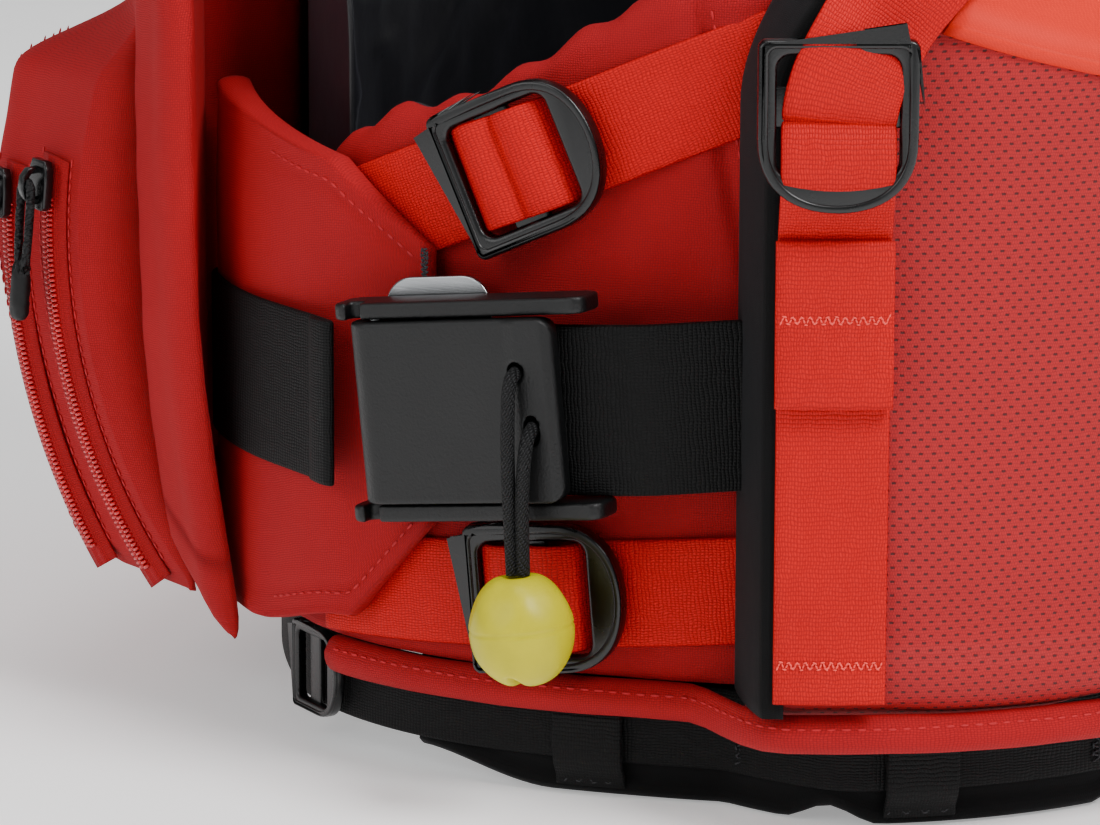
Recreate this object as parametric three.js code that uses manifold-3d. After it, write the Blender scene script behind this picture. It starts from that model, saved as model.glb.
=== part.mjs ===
// Foam rescue vest with a quick-release chest harness.
// Millimetres, +Z up. The wearer faces -Y and the wearer's left is +X.
// Soft pieces are laid out on the torso: s runs round it from the left side (positive to the back),
// z runs up from the surface that the vest stands on, and d is the distance out from the torso.
import * as THREE from 'three';
import { mergeVertices } from 'three/addons/utils/BufferGeometryUtils.js';
import Module from 'manifold-3d';

const wasm = await Module();
wasm.setup();

// Torso that the vest is cut for
const TORSO_HALF_WIDTH = 160;
const TORSO_HALF_DEPTH = 116;
const TORSO_SQUARENESS = 2.5;
const FACETS_PER_QUARTER = 16;

// Heights
const HEM_BOTTOM = 21;
const HEM_HEIGHT = 9;
const FRONT_BOTTOM = 44;
const FRONT_SIDE_BOTTOM = 24;
const ARMHOLE_Z = 195;
const SHOULDER_Z = 335;
const SHOULDER_RISE = 100;
const FRONT_NECK_DROP = 50;
const BACK_NECK_DROP = 22;

// Layers, measured out from the torso
const GAP = 0.3;
const WEB_GAP = 0.7;
const LINING_THICK = 1.0;
const SHELL_WALL = 1.6;
const SIDE_PAD = 12;
const WING_THICK = 8;
const WING_EDGE_THICK = 3;
const FOAM_GAP = 0.8;
const FOAM_SIDE_GAP = 1.6;
const CUT_THROUGH = 8;
const FRONT_OUT = 42;
const FRONT_OUT_LOW = 30;
const BACK_OUT = 44;
const YOKE_THICK = 1.2;
const YOKE_GAP = 1.8;
const SHOULDER_PAD_THICK = 22;

// Webbing
const STRAP_WIDTH = 25;
const HARNESS_WIDTH = 39;
const WEB_THICK = 1.6;
const WAIST_BELT_WIDTH = 20;
const BELT_LOOP_WIDTH = 17;

// Ladder locks
const LOCK_LENGTH = 38;
const LOCK_WIDTH = 35;
const LOCK_THICK = 4.5;
const LOCK_BAR = 3.2;
const LOCK_PAD = 8;
const WAIST_LOCK_SCALE = 0.62;

// Quick-release buckle
const BUCKLE_LENGTH = 62;
const BUCKLE_HEIGHT = 51;
const BUCKLE_DEPTH = 14;
const FLANGE_THICK = 4;
const BASE_THICK = 2.5;
const LEVER_LENGTH = 53;
const LEVER_THICK = 4.5;
const LEVER_SIDE_GAP = 0.4;
const PIN_RADIUS = 1.6;
const PIN_CLEARANCE = 0.08;
const PLATE_WIDTH = 27;
const PLATE_THICK = 1.5;
const BALL_RADIUS = 12;
const CORD_DIAMETER = 3.2;
const CORD_HOLE_RADIUS = 2.6;

// Chest pocket: its front is swept round a level axis, so a zip slider follows a true arc
const POCKET_AXIS_Y = -10.6;
const POCKET_AXIS_Z = 118.4;
const POCKET_RADIUS = 176;
const POCKET_FLAT_HALF = 100;
const POCKET_HALF_WIDTH = 128;
const POCKET_SIDE_FALL = 33;
const POCKET_BOTTOM = 32;
const POCKET_TOP = 178;
const ZIP_WIDTH = 5;
const ZIP_THICK = 2;
const ZIP_STEP_DEG = 3;

// Waist
const SKIRT_THICK = 5;
const CLIP_HEIGHT = 34;

const BLACK = '#17181a';
const RED = '#c3161f';
const WEB_RED = '#f0281c';
const ORANGE = '#f5591e';
const FOAM_WHITE = '#e8e4da';
const STEEL = '#c9ccce';
const YELLOW = '#dcd91f';

const vest = new THREE.Group();
const left = new THREE.Group();
const right = new THREE.Group();
right.scale.x = -1;
vest.add(left, right);

function addPiece(group, name, geometry, color, roughness = 0.85, metalness = 0) {
  const mesh = new THREE.Mesh(geometry, new THREE.MeshStandardMaterial({ color, roughness, metalness }));
  mesh.name = name;
  group.add(mesh);
  return mesh;
}

function addPair(name, geometry, color, roughness) {
  addPiece(left, `${name}_left`, geometry, color, roughness);
  addPiece(right, `${name}_right`, geometry.clone(), color, roughness);
}

// ---- torso surface ----------------------------------------------------------------------------

// A superellipse walked finely, then cut into facets of equal length that every layer shares.
function makeTorso() {
  const fine = 4000;
  const pts = [];
  const power = 2 / TORSO_SQUARENESS;
  for (let i = 0; i <= fine; i++) {
    const t = (i / fine) * Math.PI / 2;
    pts.push([TORSO_HALF_WIDTH * Math.cos(t) ** power, TORSO_HALF_DEPTH * Math.sin(t) ** power]);
  }
  const run = [0];
  for (let i = 1; i <= fine; i++) {
    run.push(run[i - 1] + Math.hypot(pts[i][0] - pts[i - 1][0], pts[i][1] - pts[i - 1][1]));
  }
  const quarter = run[fine];
  const corner = [];
  let k = 0;
  for (let i = 0; i <= FACETS_PER_QUARTER; i++) {
    while (k < fine && run[k] < (quarter * i) / FACETS_PER_QUARTER) k++;
    const [x, y] = pts[k];
    const nx = (x / TORSO_HALF_WIDTH) ** (TORSO_SQUARENESS - 1) / TORSO_HALF_WIDTH;
    const ny = (y / TORSO_HALF_DEPTH) ** (TORSO_SQUARENESS - 1) / TORSO_HALF_DEPTH;
    const n = Math.hypot(nx, ny);
    corner.push([x, y, nx / n, ny / n]);
  }
  return { quarter, corner };
}

const { quarter: QUARTER, corner: CORNERS } = makeTorso();
const FACET = QUARTER / FACETS_PER_QUARTER;

// The torso's facet corner number i, counted from the left side towards the back.
function torsoCorner(i) {
  const full = 4 * FACETS_PER_QUARTER;
  const half = full / 2;
  const wrapped = ((i % full) + full) % full;
  const onFront = wrapped > half;
  const fromLeft = onFront ? full - wrapped : wrapped;
  const onRight = fromLeft > FACETS_PER_QUARTER;
  const [x, y, nx, ny] = CORNERS[onRight ? half - fromLeft : fromLeft];
  const sx = onRight ? -1 : 1;
  const sy = onFront ? -1 : 1;
  return [x * sx, y * sy, nx * sx, ny * sy];
}

function torsoPoint(s) {
  const i = Math.floor(s / FACET);
  const f = s / FACET - i;
  const a = torsoCorner(i);
  const b = torsoCorner(i + 1);
  return a.map((v, k) => v * (1 - f) + b[k] * f);
}

function at(s, z, d) {
  const [x, y, nx, ny] = torsoPoint(s);
  return new THREE.Vector3(x + nx * d, y + ny * d, z);
}

// Over the shoulder: turn 0 is the front seam and 180 is the back seam, both level with SHOULDER_Z.
function overShoulder(s, turn, d) {
  const [x, y, nx, ny] = torsoPoint(s);
  const c = Math.cos(THREE.MathUtils.degToRad(turn));
  const h = Math.sin(THREE.MathUtils.degToRad(turn));
  const n = new THREE.Vector3(nx * Math.abs(c), ny * c, h).normalize();
  return new THREE.Vector3(x, y * c, SHOULDER_Z + SHOULDER_RISE * h).addScaledVector(n, d);
}

// ---- solids -----------------------------------------------------------------------------------

function lerp(a, b, f) {
  return a + (b - a) * f;
}

function ease(a, b, x) {
  return THREE.MathUtils.smoothstep(x, a, b);
}

// Even steps from a to b.
function spread(a, b, count) {
  return Array.from({ length: count + 1 }, (_, i) => lerp(a, b, i / count));
}

// Steps from a to b that fall on the torso's facet corners, with any extra breaks.
function facetSteps(a, b, extra = []) {
  const out = [a, b, ...extra];
  for (let i = Math.ceil(a / FACET); i * FACET < b; i++) out.push(i * FACET);
  out.sort((p, q) => p - q);
  return out.filter((v, i) => i === 0 || v - out[i - 1] > 0.4);
}

// A closed skin between two grids of points: inner(u, v) and outer(u, v).
function slab(us, vs, inner, outer) {
  const nu = us.length;
  const nv = vs.length;
  const position = [];
  for (const face of [inner, outer]) {
    for (const v of vs) {
      for (const u of us) position.push(...face(u, v).toArray());
    }
  }
  const id = (side, i, j) => side * nu * nv + j * nu + i;
  const index = [];
  const quad = (a, b, c, d) => index.push(a, b, c, a, c, d);
  const mirrored = (a, b, c, d) => index.push(a, b, d, b, c, d);
  for (let j = 0; j < nv - 1; j++) {
    for (let i = 0; i < nu - 1; i++) {
      const face = i < (nu - 1) / 2 ? quad : mirrored;
      face(id(1, i, j), id(1, i + 1, j), id(1, i + 1, j + 1), id(1, i, j + 1));
      face(id(0, i, j), id(0, i, j + 1), id(0, i + 1, j + 1), id(0, i + 1, j));
    }
  }
  for (let i = 0; i < nu - 1; i++) {
    quad(id(0, i, 0), id(0, i + 1, 0), id(1, i + 1, 0), id(1, i, 0));
    quad(id(1, i, nv - 1), id(1, i + 1, nv - 1), id(0, i + 1, nv - 1), id(0, i, nv - 1));
  }
  for (let j = 0; j < nv - 1; j++) {
    quad(id(0, 0, j), id(1, 0, j), id(1, 0, j + 1), id(0, 0, j + 1));
    mirrored(id(1, nu - 1, j), id(0, nu - 1, j), id(0, nu - 1, j + 1), id(1, nu - 1, j + 1));
  }
  const geometry = new THREE.BufferGeometry();
  geometry.setAttribute('position', new THREE.Float32BufferAttribute(position, 3));
  geometry.setIndex(index);
  return geometry;
}

function toSolid(geometry) {
  const bare = geometry.clone();
  bare.deleteAttribute('normal');
  bare.deleteAttribute('uv');
  const merged = mergeVertices(bare);
  const mesh = new wasm.Mesh({
    numProp: 3,
    vertProperties: new Float32Array(merged.attributes.position.array),
    triVerts: new Uint32Array(merged.index.array),
  });
  return new wasm.Manifold(mesh);
}

function toGeometry(solid) {
  const mesh = solid.getMesh();
  const geometry = new THREE.BufferGeometry();
  geometry.setAttribute('position', new THREE.BufferAttribute(mesh.vertProperties, 3));
  geometry.setIndex(new THREE.BufferAttribute(mesh.triVerts, 1));
  return geometry;
}

function cut(base, ...tools) {
  return toGeometry(tools.reduce((solid, tool) => solid.subtract(toSolid(tool)), toSolid(base)));
}

function join(base, ...others) {
  return toGeometry(others.reduce((solid, other) => solid.add(toSolid(other)), toSolid(base)));
}

function boxAt(x0, x1, y0, y1, z0, z1) {
  const box = new THREE.BoxGeometry(x1 - x0, y1 - y0, z1 - z0);
  return box.translate((x0 + x1) / 2, (y0 + y1) / 2, (z0 + z1) / 2);
}

function extrude(shape, depth, curveSegments = 6) {
  return new THREE.ExtrudeGeometry(shape, { depth, bevelEnabled: false, curveSegments });
}

function roundedRect(x0, x1, y0, y1, r) {
  const shape = new THREE.Shape();
  shape.moveTo(x0 + r, y0);
  shape.lineTo(x1 - r, y0);
  shape.absarc(x1 - r, y0 + r, r, -Math.PI / 2, 0);
  shape.lineTo(x1, y1 - r);
  shape.absarc(x1 - r, y1 - r, r, 0, Math.PI / 2);
  shape.lineTo(x0 + r, y1);
  shape.absarc(x0 + r, y1 - r, r, Math.PI / 2, Math.PI);
  shape.lineTo(x0, y0 + r);
  shape.absarc(x0 + r, y0 + r, r, Math.PI, Math.PI * 1.5);
  return shape;
}

// How much longer a turn s is at a distance d out than on the torso itself.
function stretch(s, d) {
  return at(s + FACET, 0, d).distanceTo(at(s - FACET, 0, d)) / (2 * FACET);
}

// The direction across a path in [s, z], one millimetre long on the layer that the path lies on.
function acrossPath([s0, z0, d], [s1, z1]) {
  const k = stretch((s0 + s1) / 2, d);
  const run = Math.hypot((s1 - s0) * k, z1 - z0);
  return [-(z1 - z0) / run / k, ((s1 - s0) * k) / run];
}

// A flat band along a path of [s, z, d] points on the torso, facing out.
function band(path, width, thick, acrossSteps = 2) {
  const runs = [];
  for (let i = 0; i < path.length - 1; i++) {
    const [s0, z0, d0] = path[i];
    const [s1, z1, d1] = path[i + 1];
    const count = Math.max(1, Math.ceil(Math.hypot(s1 - s0, z1 - z0) / FACET));
    const cuts = spread(0, 1, s0 === s1 ? count : 1);
    for (let k = Math.ceil(Math.min(s0, s1) / FACET); k * FACET < Math.max(s0, s1); k++) {
      cuts.push((k * FACET - s0) / (s1 - s0));
    }
    cuts.sort((p, q) => p - q);
    for (const f of cuts) {
      if (f >= 0 && f <= 1) runs.push([lerp(s0, s1, f), lerp(z0, z1, f), lerp(d0, d1, f)]);
    }
  }
  const steps = runs.filter((p, i) => i === 0 || Math.hypot(p[0] - runs[i - 1][0], p[1] - runs[i - 1][1]) > 0.5);
  const across = steps.map((p, i) => acrossPath(steps[Math.max(0, i - 1)], steps[Math.min(steps.length - 1, i + 1)]));
  const layer = (rise) => (i, v) => {
    const [s, z, d] = steps[i];
    return at(s + across[i][0] * v, z + across[i][1] * v, d + rise);
  };
  return slab(steps.map((_, i) => i), spread(-width / 2, width / 2, acrossSteps), layer(0), layer(thick));
}

// Places a rigid piece on the torso: its x runs along the strap, its y across it and its z points out.
function seatOn(geometry, s, z, d, tilt) {
  const p = at(s, z, d);
  const [, , nx, ny] = torsoPoint(s);
  const out = new THREE.Vector3(nx, ny, 0).normalize();
  const up = new THREE.Vector3(0, 0, 1);
  const back = new THREE.Vector3().crossVectors(up, out);
  const turned = new THREE.Matrix4().makeRotationZ(THREE.MathUtils.degToRad(tilt));
  const basis = new THREE.Matrix4().makeBasis(back, up, out).multiply(turned).setPosition(p);
  return geometry.clone().applyMatrix4(basis);
}

// ---- front and back panels --------------------------------------------------------------------

const SIDE_IN = LINING_THICK + GAP;
const SIDE_OUT = SIDE_IN + SIDE_PAD;
const STRAP_IN = SIDE_OUT + WEB_GAP;
const STRAP_OUT = STRAP_IN + WEB_THICK;
const TAIL_OUT = STRAP_OUT + GAP + WEB_THICK;
const WING_IN = STRAP_OUT + WEB_GAP;
const WING_OUT = WING_IN + WING_THICK;
const FRONT_BELT_IN = WING_OUT + WEB_GAP;
const FRONT_LAP_IN = FRONT_BELT_IN + WEB_THICK + WEB_GAP;
const BACK_LAP_IN = TAIL_OUT + WEB_GAP;
const BELT_BEHIND_IN = LINING_THICK + WEB_GAP;
const PANEL_IN = BELT_BEHIND_IN + WEB_THICK + WEB_GAP;
const PANEL_BOTTOM = HEM_BOTTOM + HEM_HEIGHT + GAP;
const FRONT_HALF = QUARTER - 86;
const BACK_HALF = QUARTER - 27;
const WALL_SLANT = 6.5;
const EDGE_TRIM_THICK = 1.5;
const SHOULDER_INNER_S = 169;
const SHOULDER_OUTER_S = 94;
const SHOULDER_HALF = QUARTER - SHOULDER_OUTER_S;
const NECK_HALF = QUARTER - SHOULDER_INNER_S;

// Half width of a panel at a height, as a share of its width below the armhole.
function panelTaper(half, waistShare) {
  const top = SHOULDER_HALF / half;
  return (z) => {
    const scoop = lerp(1, waistShare, ease(ARMHOLE_Z - 30, ARMHOLE_Z + 70, z));
    return lerp(scoop, top, ease(ARMHOLE_Z + 60, SHOULDER_Z, z));
  };
}

const frontTaper = panelTaper(FRONT_HALF, 0.84);
const backTaper = panelTaper(BACK_HALF, 0.78);

function panelTop(drop, edgeHalf, half) {
  return (t) => {
    const u = (Math.abs(t) / half) * edgeHalf;
    return SHOULDER_Z - GAP - drop * (1 - ease(NECK_HALF * 0.35, NECK_HALF, u));
  };
}

const frontTop = panelTop(FRONT_NECK_DROP, SHOULDER_HALF, FRONT_HALF);
const backTop = panelTop(BACK_NECK_DROP, SHOULDER_HALF, BACK_HALF);

function frontOut(z) {
  return lerp(FRONT_OUT_LOW, FRONT_OUT, ease(PANEL_BOTTOM - 20, 105, z));
}

function frontIn(t) {
  return lerp(PANEL_IN, FRONT_LAP_IN, ease(QUARTER - 150, QUARTER - 126, Math.abs(t)));
}

function backIn(t) {
  return lerp(PANEL_IN, BACK_LAP_IN, ease(QUARTER - 94, QUARTER - 78, Math.abs(t)));
}

// A panel laid out from its middle: t runs out from the centre line and v up from bottom to top.
// inset shrinks it on every side but the one towards the torso, which moves out by innerShift, and
// sideGap shrinks its two edges further. With a slant, its edges lean in towards its face.
function panelSolid({ middle, half, bottom, top, taper, dIn, dOut, rows, ...change }) {
  const { inset = 0, sideGap = 0, innerShift = 0, slant = 0 } = change;
  const slope = slant / (BACK_OUT - BACK_LAP_IN);
  const innerHalf = half - inset - sideGap - slope * innerShift;
  const outerHalf = half - inset - sideGap - slant + slope * inset;
  const ts = facetSteps(middle - outerHalf, middle + outerHalf).map((s) => s - middle);
  const point = (edge, depth) => (t, v) => {
    const z = THREE.MathUtils.clamp(lerp(bottom(t), top(t), v), bottom(t) + inset, top(t) - inset);
    const reach = Math.abs(t) > outerHalf - 0.01 ? Math.sign(t) * edge : t;
    return at(middle + reach * taper(z), z, depth(t, z));
  };
  const inner = point(innerHalf, (t) => dIn(t) + innerShift);
  const outer = point(outerHalf, (t, z) => dOut(z) - inset);
  return slab(ts, spread(0, 1, rows), inner, outer);
}

const frontPanel = {
  middle: -QUARTER,
  half: FRONT_HALF,
  bottom: (t) => lerp(FRONT_BOTTOM, FRONT_SIDE_BOTTOM, ease(QUARTER - 125, QUARTER - 95, Math.abs(t))),
  top: frontTop,
  taper: frontTaper,
  dIn: frontIn,
  dOut: frontOut,
  rows: 11,
};

const backPanel = {
  middle: QUARTER,
  half: BACK_HALF,
  bottom: () => PANEL_BOTTOM,
  top: backTop,
  taper: backTaper,
  dIn: backIn,
  dOut: () => BACK_OUT,
  rows: 11,
  slant: WALL_SLANT,
};

// A shell is a tray of fabric, open towards the torso, that the foam lies in.
function addPanel(name, panel, shellColor) {
  const hollow = panelSolid({ ...panel, inset: SHELL_WALL, innerShift: -CUT_THROUGH });
  const foamCut = { inset: SHELL_WALL + FOAM_GAP, sideGap: FOAM_SIDE_GAP, innerShift: FOAM_GAP };
  const foam = panelSolid({ ...panel, ...foamCut });
  addPiece(vest, `${name}_shell`, cut(panelSolid(panel), hollow), shellColor);
  addPiece(vest, `${name}_foam`, foam, FOAM_WHITE, 0.95);
}

function addLining(name, panel) {
  const lining = { ...panel, dIn: () => 0, dOut: () => LINING_THICK, slant: 0, rows: 5 };
  addPiece(vest, name, panelSolid(lining), BLACK, 0.5);
}

function addPanels() {
  addPanel('front', frontPanel, RED);
  addPanel('back', backPanel, RED);
  addLining('lining_front', frontPanel);
  addLining('lining_back', backPanel);
}

// The orange yoke lies on the top of the back panel, with a lower edge that sags to the middle.
function addYoke() {
  const half = QUARTER - 54;
  const share = half / BACK_HALF;
  const ts = facetSteps(QUARTER - half / share, QUARTER + half / share).map((s) => s - QUARTER);
  const low = (t) => 166 + 26 * Math.abs(t / BACK_HALF) ** 3;
  const layer = (d) => (t, v) => {
    const z = lerp(low(t), backTop(t) - 4, v);
    return at(QUARTER + t * backTaper(z) * share, z, d);
  };
  const skin = slab(ts, spread(0, 1, 5), layer(BACK_OUT + YOKE_GAP), layer(BACK_OUT + YOKE_GAP + YOKE_THICK));
  addPiece(vest, 'back_yoke', skin, ORANGE, 0.7);
}

// The black twill wall down each side of the back panel.
function addEdgeTrim() {
  const layer = (lift) => (f, v) => {
    const z = lerp(PANEL_BOTTOM, backTop(-BACK_HALF), v);
    const t = -BACK_HALF * backTaper(z) * (1 - (f * WALL_SLANT) / BACK_HALF) - lift;
    return at(QUARTER + t, z, lerp(BACK_LAP_IN, BACK_OUT, f));
  };
  const wall = slab([0.02, 0.98], spread(0, 1, backPanel.rows), layer(WEB_GAP), layer(WEB_GAP + EDGE_TRIM_THICK));
  addPair('back_edge', wall, BLACK, 0.9);
}

function addShoulderPads() {
  const inner = (s, turn) => overShoulder(s, turn, LINING_THICK);
  const outer = (s, turn) => {
    const end = Math.abs(Math.cos(THREE.MathUtils.degToRad(turn))) ** 6;
    const seam = turn < 90 ? FRONT_OUT : BACK_OUT;
    return overShoulder(s, turn, lerp(SHOULDER_PAD_THICK, seam, end));
  };
  const ss = facetSteps(-SHOULDER_INNER_S, -SHOULDER_OUTER_S);
  const pad = slab(ss, spread(180, 0, 16), (s, turn) => inner(s, 180 - turn), (s, turn) => outer(s, 180 - turn));
  addPair('shoulder_pad', pad, RED);
}

// ---- sides ------------------------------------------------------------------------------------

// Height of the side panel's top edge, which is the bottom of the armhole.
function armholeZ(s) {
  if (s < -47) return lerp(140, 160, ease(-95, -47, s));
  return lerp(160, ARMHOLE_Z, ease(-47, 30, s) ** 0.8);
}

function addSidePanels() {
  const ss = facetSteps(-95, 74);
  const layer = (d) => (s, v) => at(s, lerp(PANEL_BOTTOM, armholeZ(s), v), d);
  addPair('side_panel', slab(ss, spread(0, 1, 6), layer(SIDE_IN), layer(SIDE_OUT)), RED);
}

const WING_REAR = -41;
const WING_KNEE = -60;
const WING_FRONT = -119;

function wingLow(s) {
  return s < WING_KNEE ? lerp(PANEL_BOTTOM, 38, ease(-95, WING_KNEE, s)) : lerp(38, 63, (s - WING_KNEE) / 19);
}

function wingHigh(s) {
  return s < -64 ? lerp(158, 147, (s - WING_FRONT) / 55) : lerp(147, 128, (s + 64) / 23);
}

// The wing is the padded flap of the front panel that reaches back over the side.
function addWings() {
  const ss = facetSteps(WING_FRONT, WING_REAR, [-95, WING_KNEE, -64]);
  const thick = (s) => lerp(WING_THICK, WING_EDGE_THICK, ease(-75, WING_REAR, s));
  const inner = (s, v) => at(s, lerp(wingLow(s), wingHigh(s), v), WING_IN);
  const outer = (s, v) => at(s, lerp(wingLow(s), wingHigh(s), v), WING_IN + thick(s));
  addPair('wing', slab(ss, spread(0, 1, 5), inner, outer), RED);
}

// The rolled hem: close under the side panels and out at the face of the back panel.
function hemOut(s) {
  const a = Math.abs(s - QUARTER);
  return lerp(BACK_OUT - 6, SIDE_OUT + 0.5, ease(QUARTER - 36, QUARTER - 14, a));
}

function addHem() {
  const ss = facetSteps(-72, 2 * QUARTER + 72);
  const turns = spread(0, 360, 8).slice(0, 8);
  const rings = ss.map((s) => turns.map((a) => {
    const r = THREE.MathUtils.degToRad(a);
    return at(s, HEM_BOTTOM + (HEM_HEIGHT / 2) * (1 - Math.cos(r)), hemOut(s) + 3.5 * Math.sin(r));
  }));
  addPiece(vest, 'hem_roll', ringTube(rings), RED);
}

// A tube through rings of points, closed at both ends.
function ringTube(rings) {
  const n = rings[0].length;
  const index = [];
  for (let i = 0; i < rings.length - 1; i++) {
    for (let k = 0; k < n; k++) {
      const a = i * n + k;
      const b = i * n + ((k + 1) % n);
      index.push(a, a + n, b + n, a, b + n, b);
    }
  }
  const last = (rings.length - 1) * n;
  for (let k = 1; k < n - 1; k++) {
    index.push(0, k, k + 1);
    index.push(last, last + k + 1, last + k);
  }
  const geometry = new THREE.BufferGeometry();
  geometry.setAttribute('position', new THREE.Float32BufferAttribute(rings.flat().flatMap((p) => p.toArray()), 3));
  geometry.setIndex(index);
  return geometry;
}

// ---- side and shoulder straps ------------------------------------------------------------------

const UPPER_TILT = 24;
const LOWER_TILT = 5;
const UPPER_LOCK = { s: -20, z: 150 };
const LOWER_LOCK = { s: -15, z: 49 };

// A point on a strap's centre line, s along the torso from its lock.
function alongStrap(lock, tilt, s) {
  return [s, lock.z + (s - lock.s) * Math.tan(THREE.MathUtils.degToRad(tilt)), STRAP_IN];
}

// A ladder lock: a square bar at one end, a wide rounded pad at the other and a bar across the middle.
function ladderLock() {
  const x0 = -LOCK_LENGTH / 2;
  const x1 = LOCK_LENGTH / 2;
  const y1 = LOCK_WIDTH / 2;
  const shape = new THREE.Shape();
  shape.moveTo(x0 + 2, -y1);
  shape.lineTo(x1 - 16, -y1);
  shape.bezierCurveTo(x1 - 4, -y1, x1, -y1 + 9, x1, 0);
  shape.bezierCurveTo(x1, y1 - 9, x1 - 4, y1, x1 - 16, y1);
  shape.lineTo(x0 + 2, y1);
  shape.absarc(x0 + 2, y1 - 2, 2, Math.PI / 2, Math.PI);
  shape.absarc(x0 + 2, -y1 + 2, 2, Math.PI, Math.PI * 1.5);
  const half = STRAP_WIDTH / 2 + 1.2;
  shape.holes.push(roundedRect(x0 + LOCK_BAR, -9, -half, half, 1.5));
  shape.holes.push(roundedRect(1, x1 - LOCK_PAD, -half, half, 3));
  const plate = extrude(shape, LOCK_THICK, 3);
  const lip = boxAt(-10, 2, -half - 1, half + 1, LOCK_THICK - 1.8, LOCK_THICK + 2);
  return cut(plate, lip);
}

// Each side strap is in two parts that meet under the lock: a loop sewn to the wing and the strap
// that comes out from under the back panel.
function addSideStraps() {
  for (const [name, lock, tilt] of [['upper', UPPER_LOCK, UPPER_TILT], ['lower', LOWER_LOCK, LOWER_TILT]]) {
    const split = lock.s - 7;
    const loop = [alongStrap(lock, tilt, WING_KNEE - 15), alongStrap(lock, tilt, split - 0.5)];
    const strap = [alongStrap(lock, tilt, split + 0.5), alongStrap(lock, tilt, 46)];
    addPair(`${name}_side_loop`, band(loop, STRAP_WIDTH, WEB_THICK), WEB_RED, 0.6);
    addPair(`${name}_side_strap`, band(strap, STRAP_WIDTH, WEB_THICK), WEB_RED, 0.6);
    const placed = seatOn(ladderLock(), lock.s, lock.z, STRAP_OUT + WEB_GAP, tilt);
    addPair(`${name}_side_lock`, placed, BLACK, 0.35);
  }
}

const STRAP_S = 42.3;
const SHOULDER_LOCK_Z = 165;
const ON_BACK = BACK_OUT + WEB_GAP;
const ON_YOKE = BACK_OUT + YOKE_GAP + YOKE_THICK + WEB_GAP + 0.6;
const STRAP_TOP_S = 132;

function addShoulderStraps() {
  const anchor = [[STRAP_S, 34, ON_BACK], [STRAP_S, SHOULDER_LOCK_Z - 8, ON_BACK]];
  addPair('shoulder_anchor', band(anchor, STRAP_WIDTH, WEB_THICK, 3), WEB_RED, 0.6);
  addPair('shoulder_strap', shoulderBand(), WEB_RED, 0.6);
  const lock = seatOn(ladderLock(), STRAP_S, SHOULDER_LOCK_Z, ON_YOKE + WEB_THICK + GAP, -90);
  addPair('shoulder_lock', lock, BLACK, 0.35);
}

// The strap runs up the back panel and the yoke, over the shoulder pad and down to the chest.
function shoulderBand() {
  const backRun = spread(SHOULDER_LOCK_Z - 7, SHOULDER_Z - 4, 12).map((z) => {
    const alongEdge = STRAP_S + BACK_HALF * (1 - backTaper(z));
    return [lerp(alongEdge, STRAP_TOP_S, ease(ARMHOLE_Z + 20, SHOULDER_Z, z)), z, ON_YOKE];
  });
  const rows = backRun.map((p, i) => {
    const last = i === backRun.length - 1;
    const [as, az] = last ? [-1 / stretch(p[0], p[2]), 0] : acrossPath(backRun[Math.max(0, i - 1)], backRun[i + 1]);
    return (v, lift) => at(p[0] + as * v, p[1] + az * v, p[2] + lift);
  });
  for (const turn of spread(176, 4, 12)) {
    const c = Math.abs(Math.cos(THREE.MathUtils.degToRad(turn)));
    const pad = lerp(SHOULDER_PAD_THICK + WEB_GAP + 0.6, ON_YOKE, c ** 6);
    const k = lerp(1, stretch(STRAP_TOP_S, ON_YOKE), c);
    rows.push((v, lift) => overShoulder(-STRAP_TOP_S + v / k, turn, pad + lift));
  }
  for (const z of [SHOULDER_Z - 10, SHOULDER_Z - 30]) {
    rows.push((v, lift) => at(-STRAP_TOP_S + v / stretch(STRAP_TOP_S, FRONT_OUT), z, FRONT_OUT + 1 + lift));
  }
  const layer = (lift) => (i, v) => rows[i](v, lift);
  return slab(rows.map((_, i) => i), spread(-STRAP_WIDTH / 2, STRAP_WIDTH / 2, 2), layer(0), layer(WEB_THICK));
}

// ---- harness belt and quick-release buckle -----------------------------------------------------

const BUCKLE = { s: -27, z: 94, tilt: 6 };
const BUCKLE_SEAT = WING_IN + WING_EDGE_THICK + 2.5;
const FRONT_Z = 91;
const SIDE_Z = 98;
const LEVER_SPINE = 6;
const LEVER_PIN_X = -BUCKLE_LENGTH / 2 + 8.5;
const LEVER_PIN_Z = 7.5;
const BELT_IN_BUCKLE = BASE_THICK + WEB_GAP;

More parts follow.
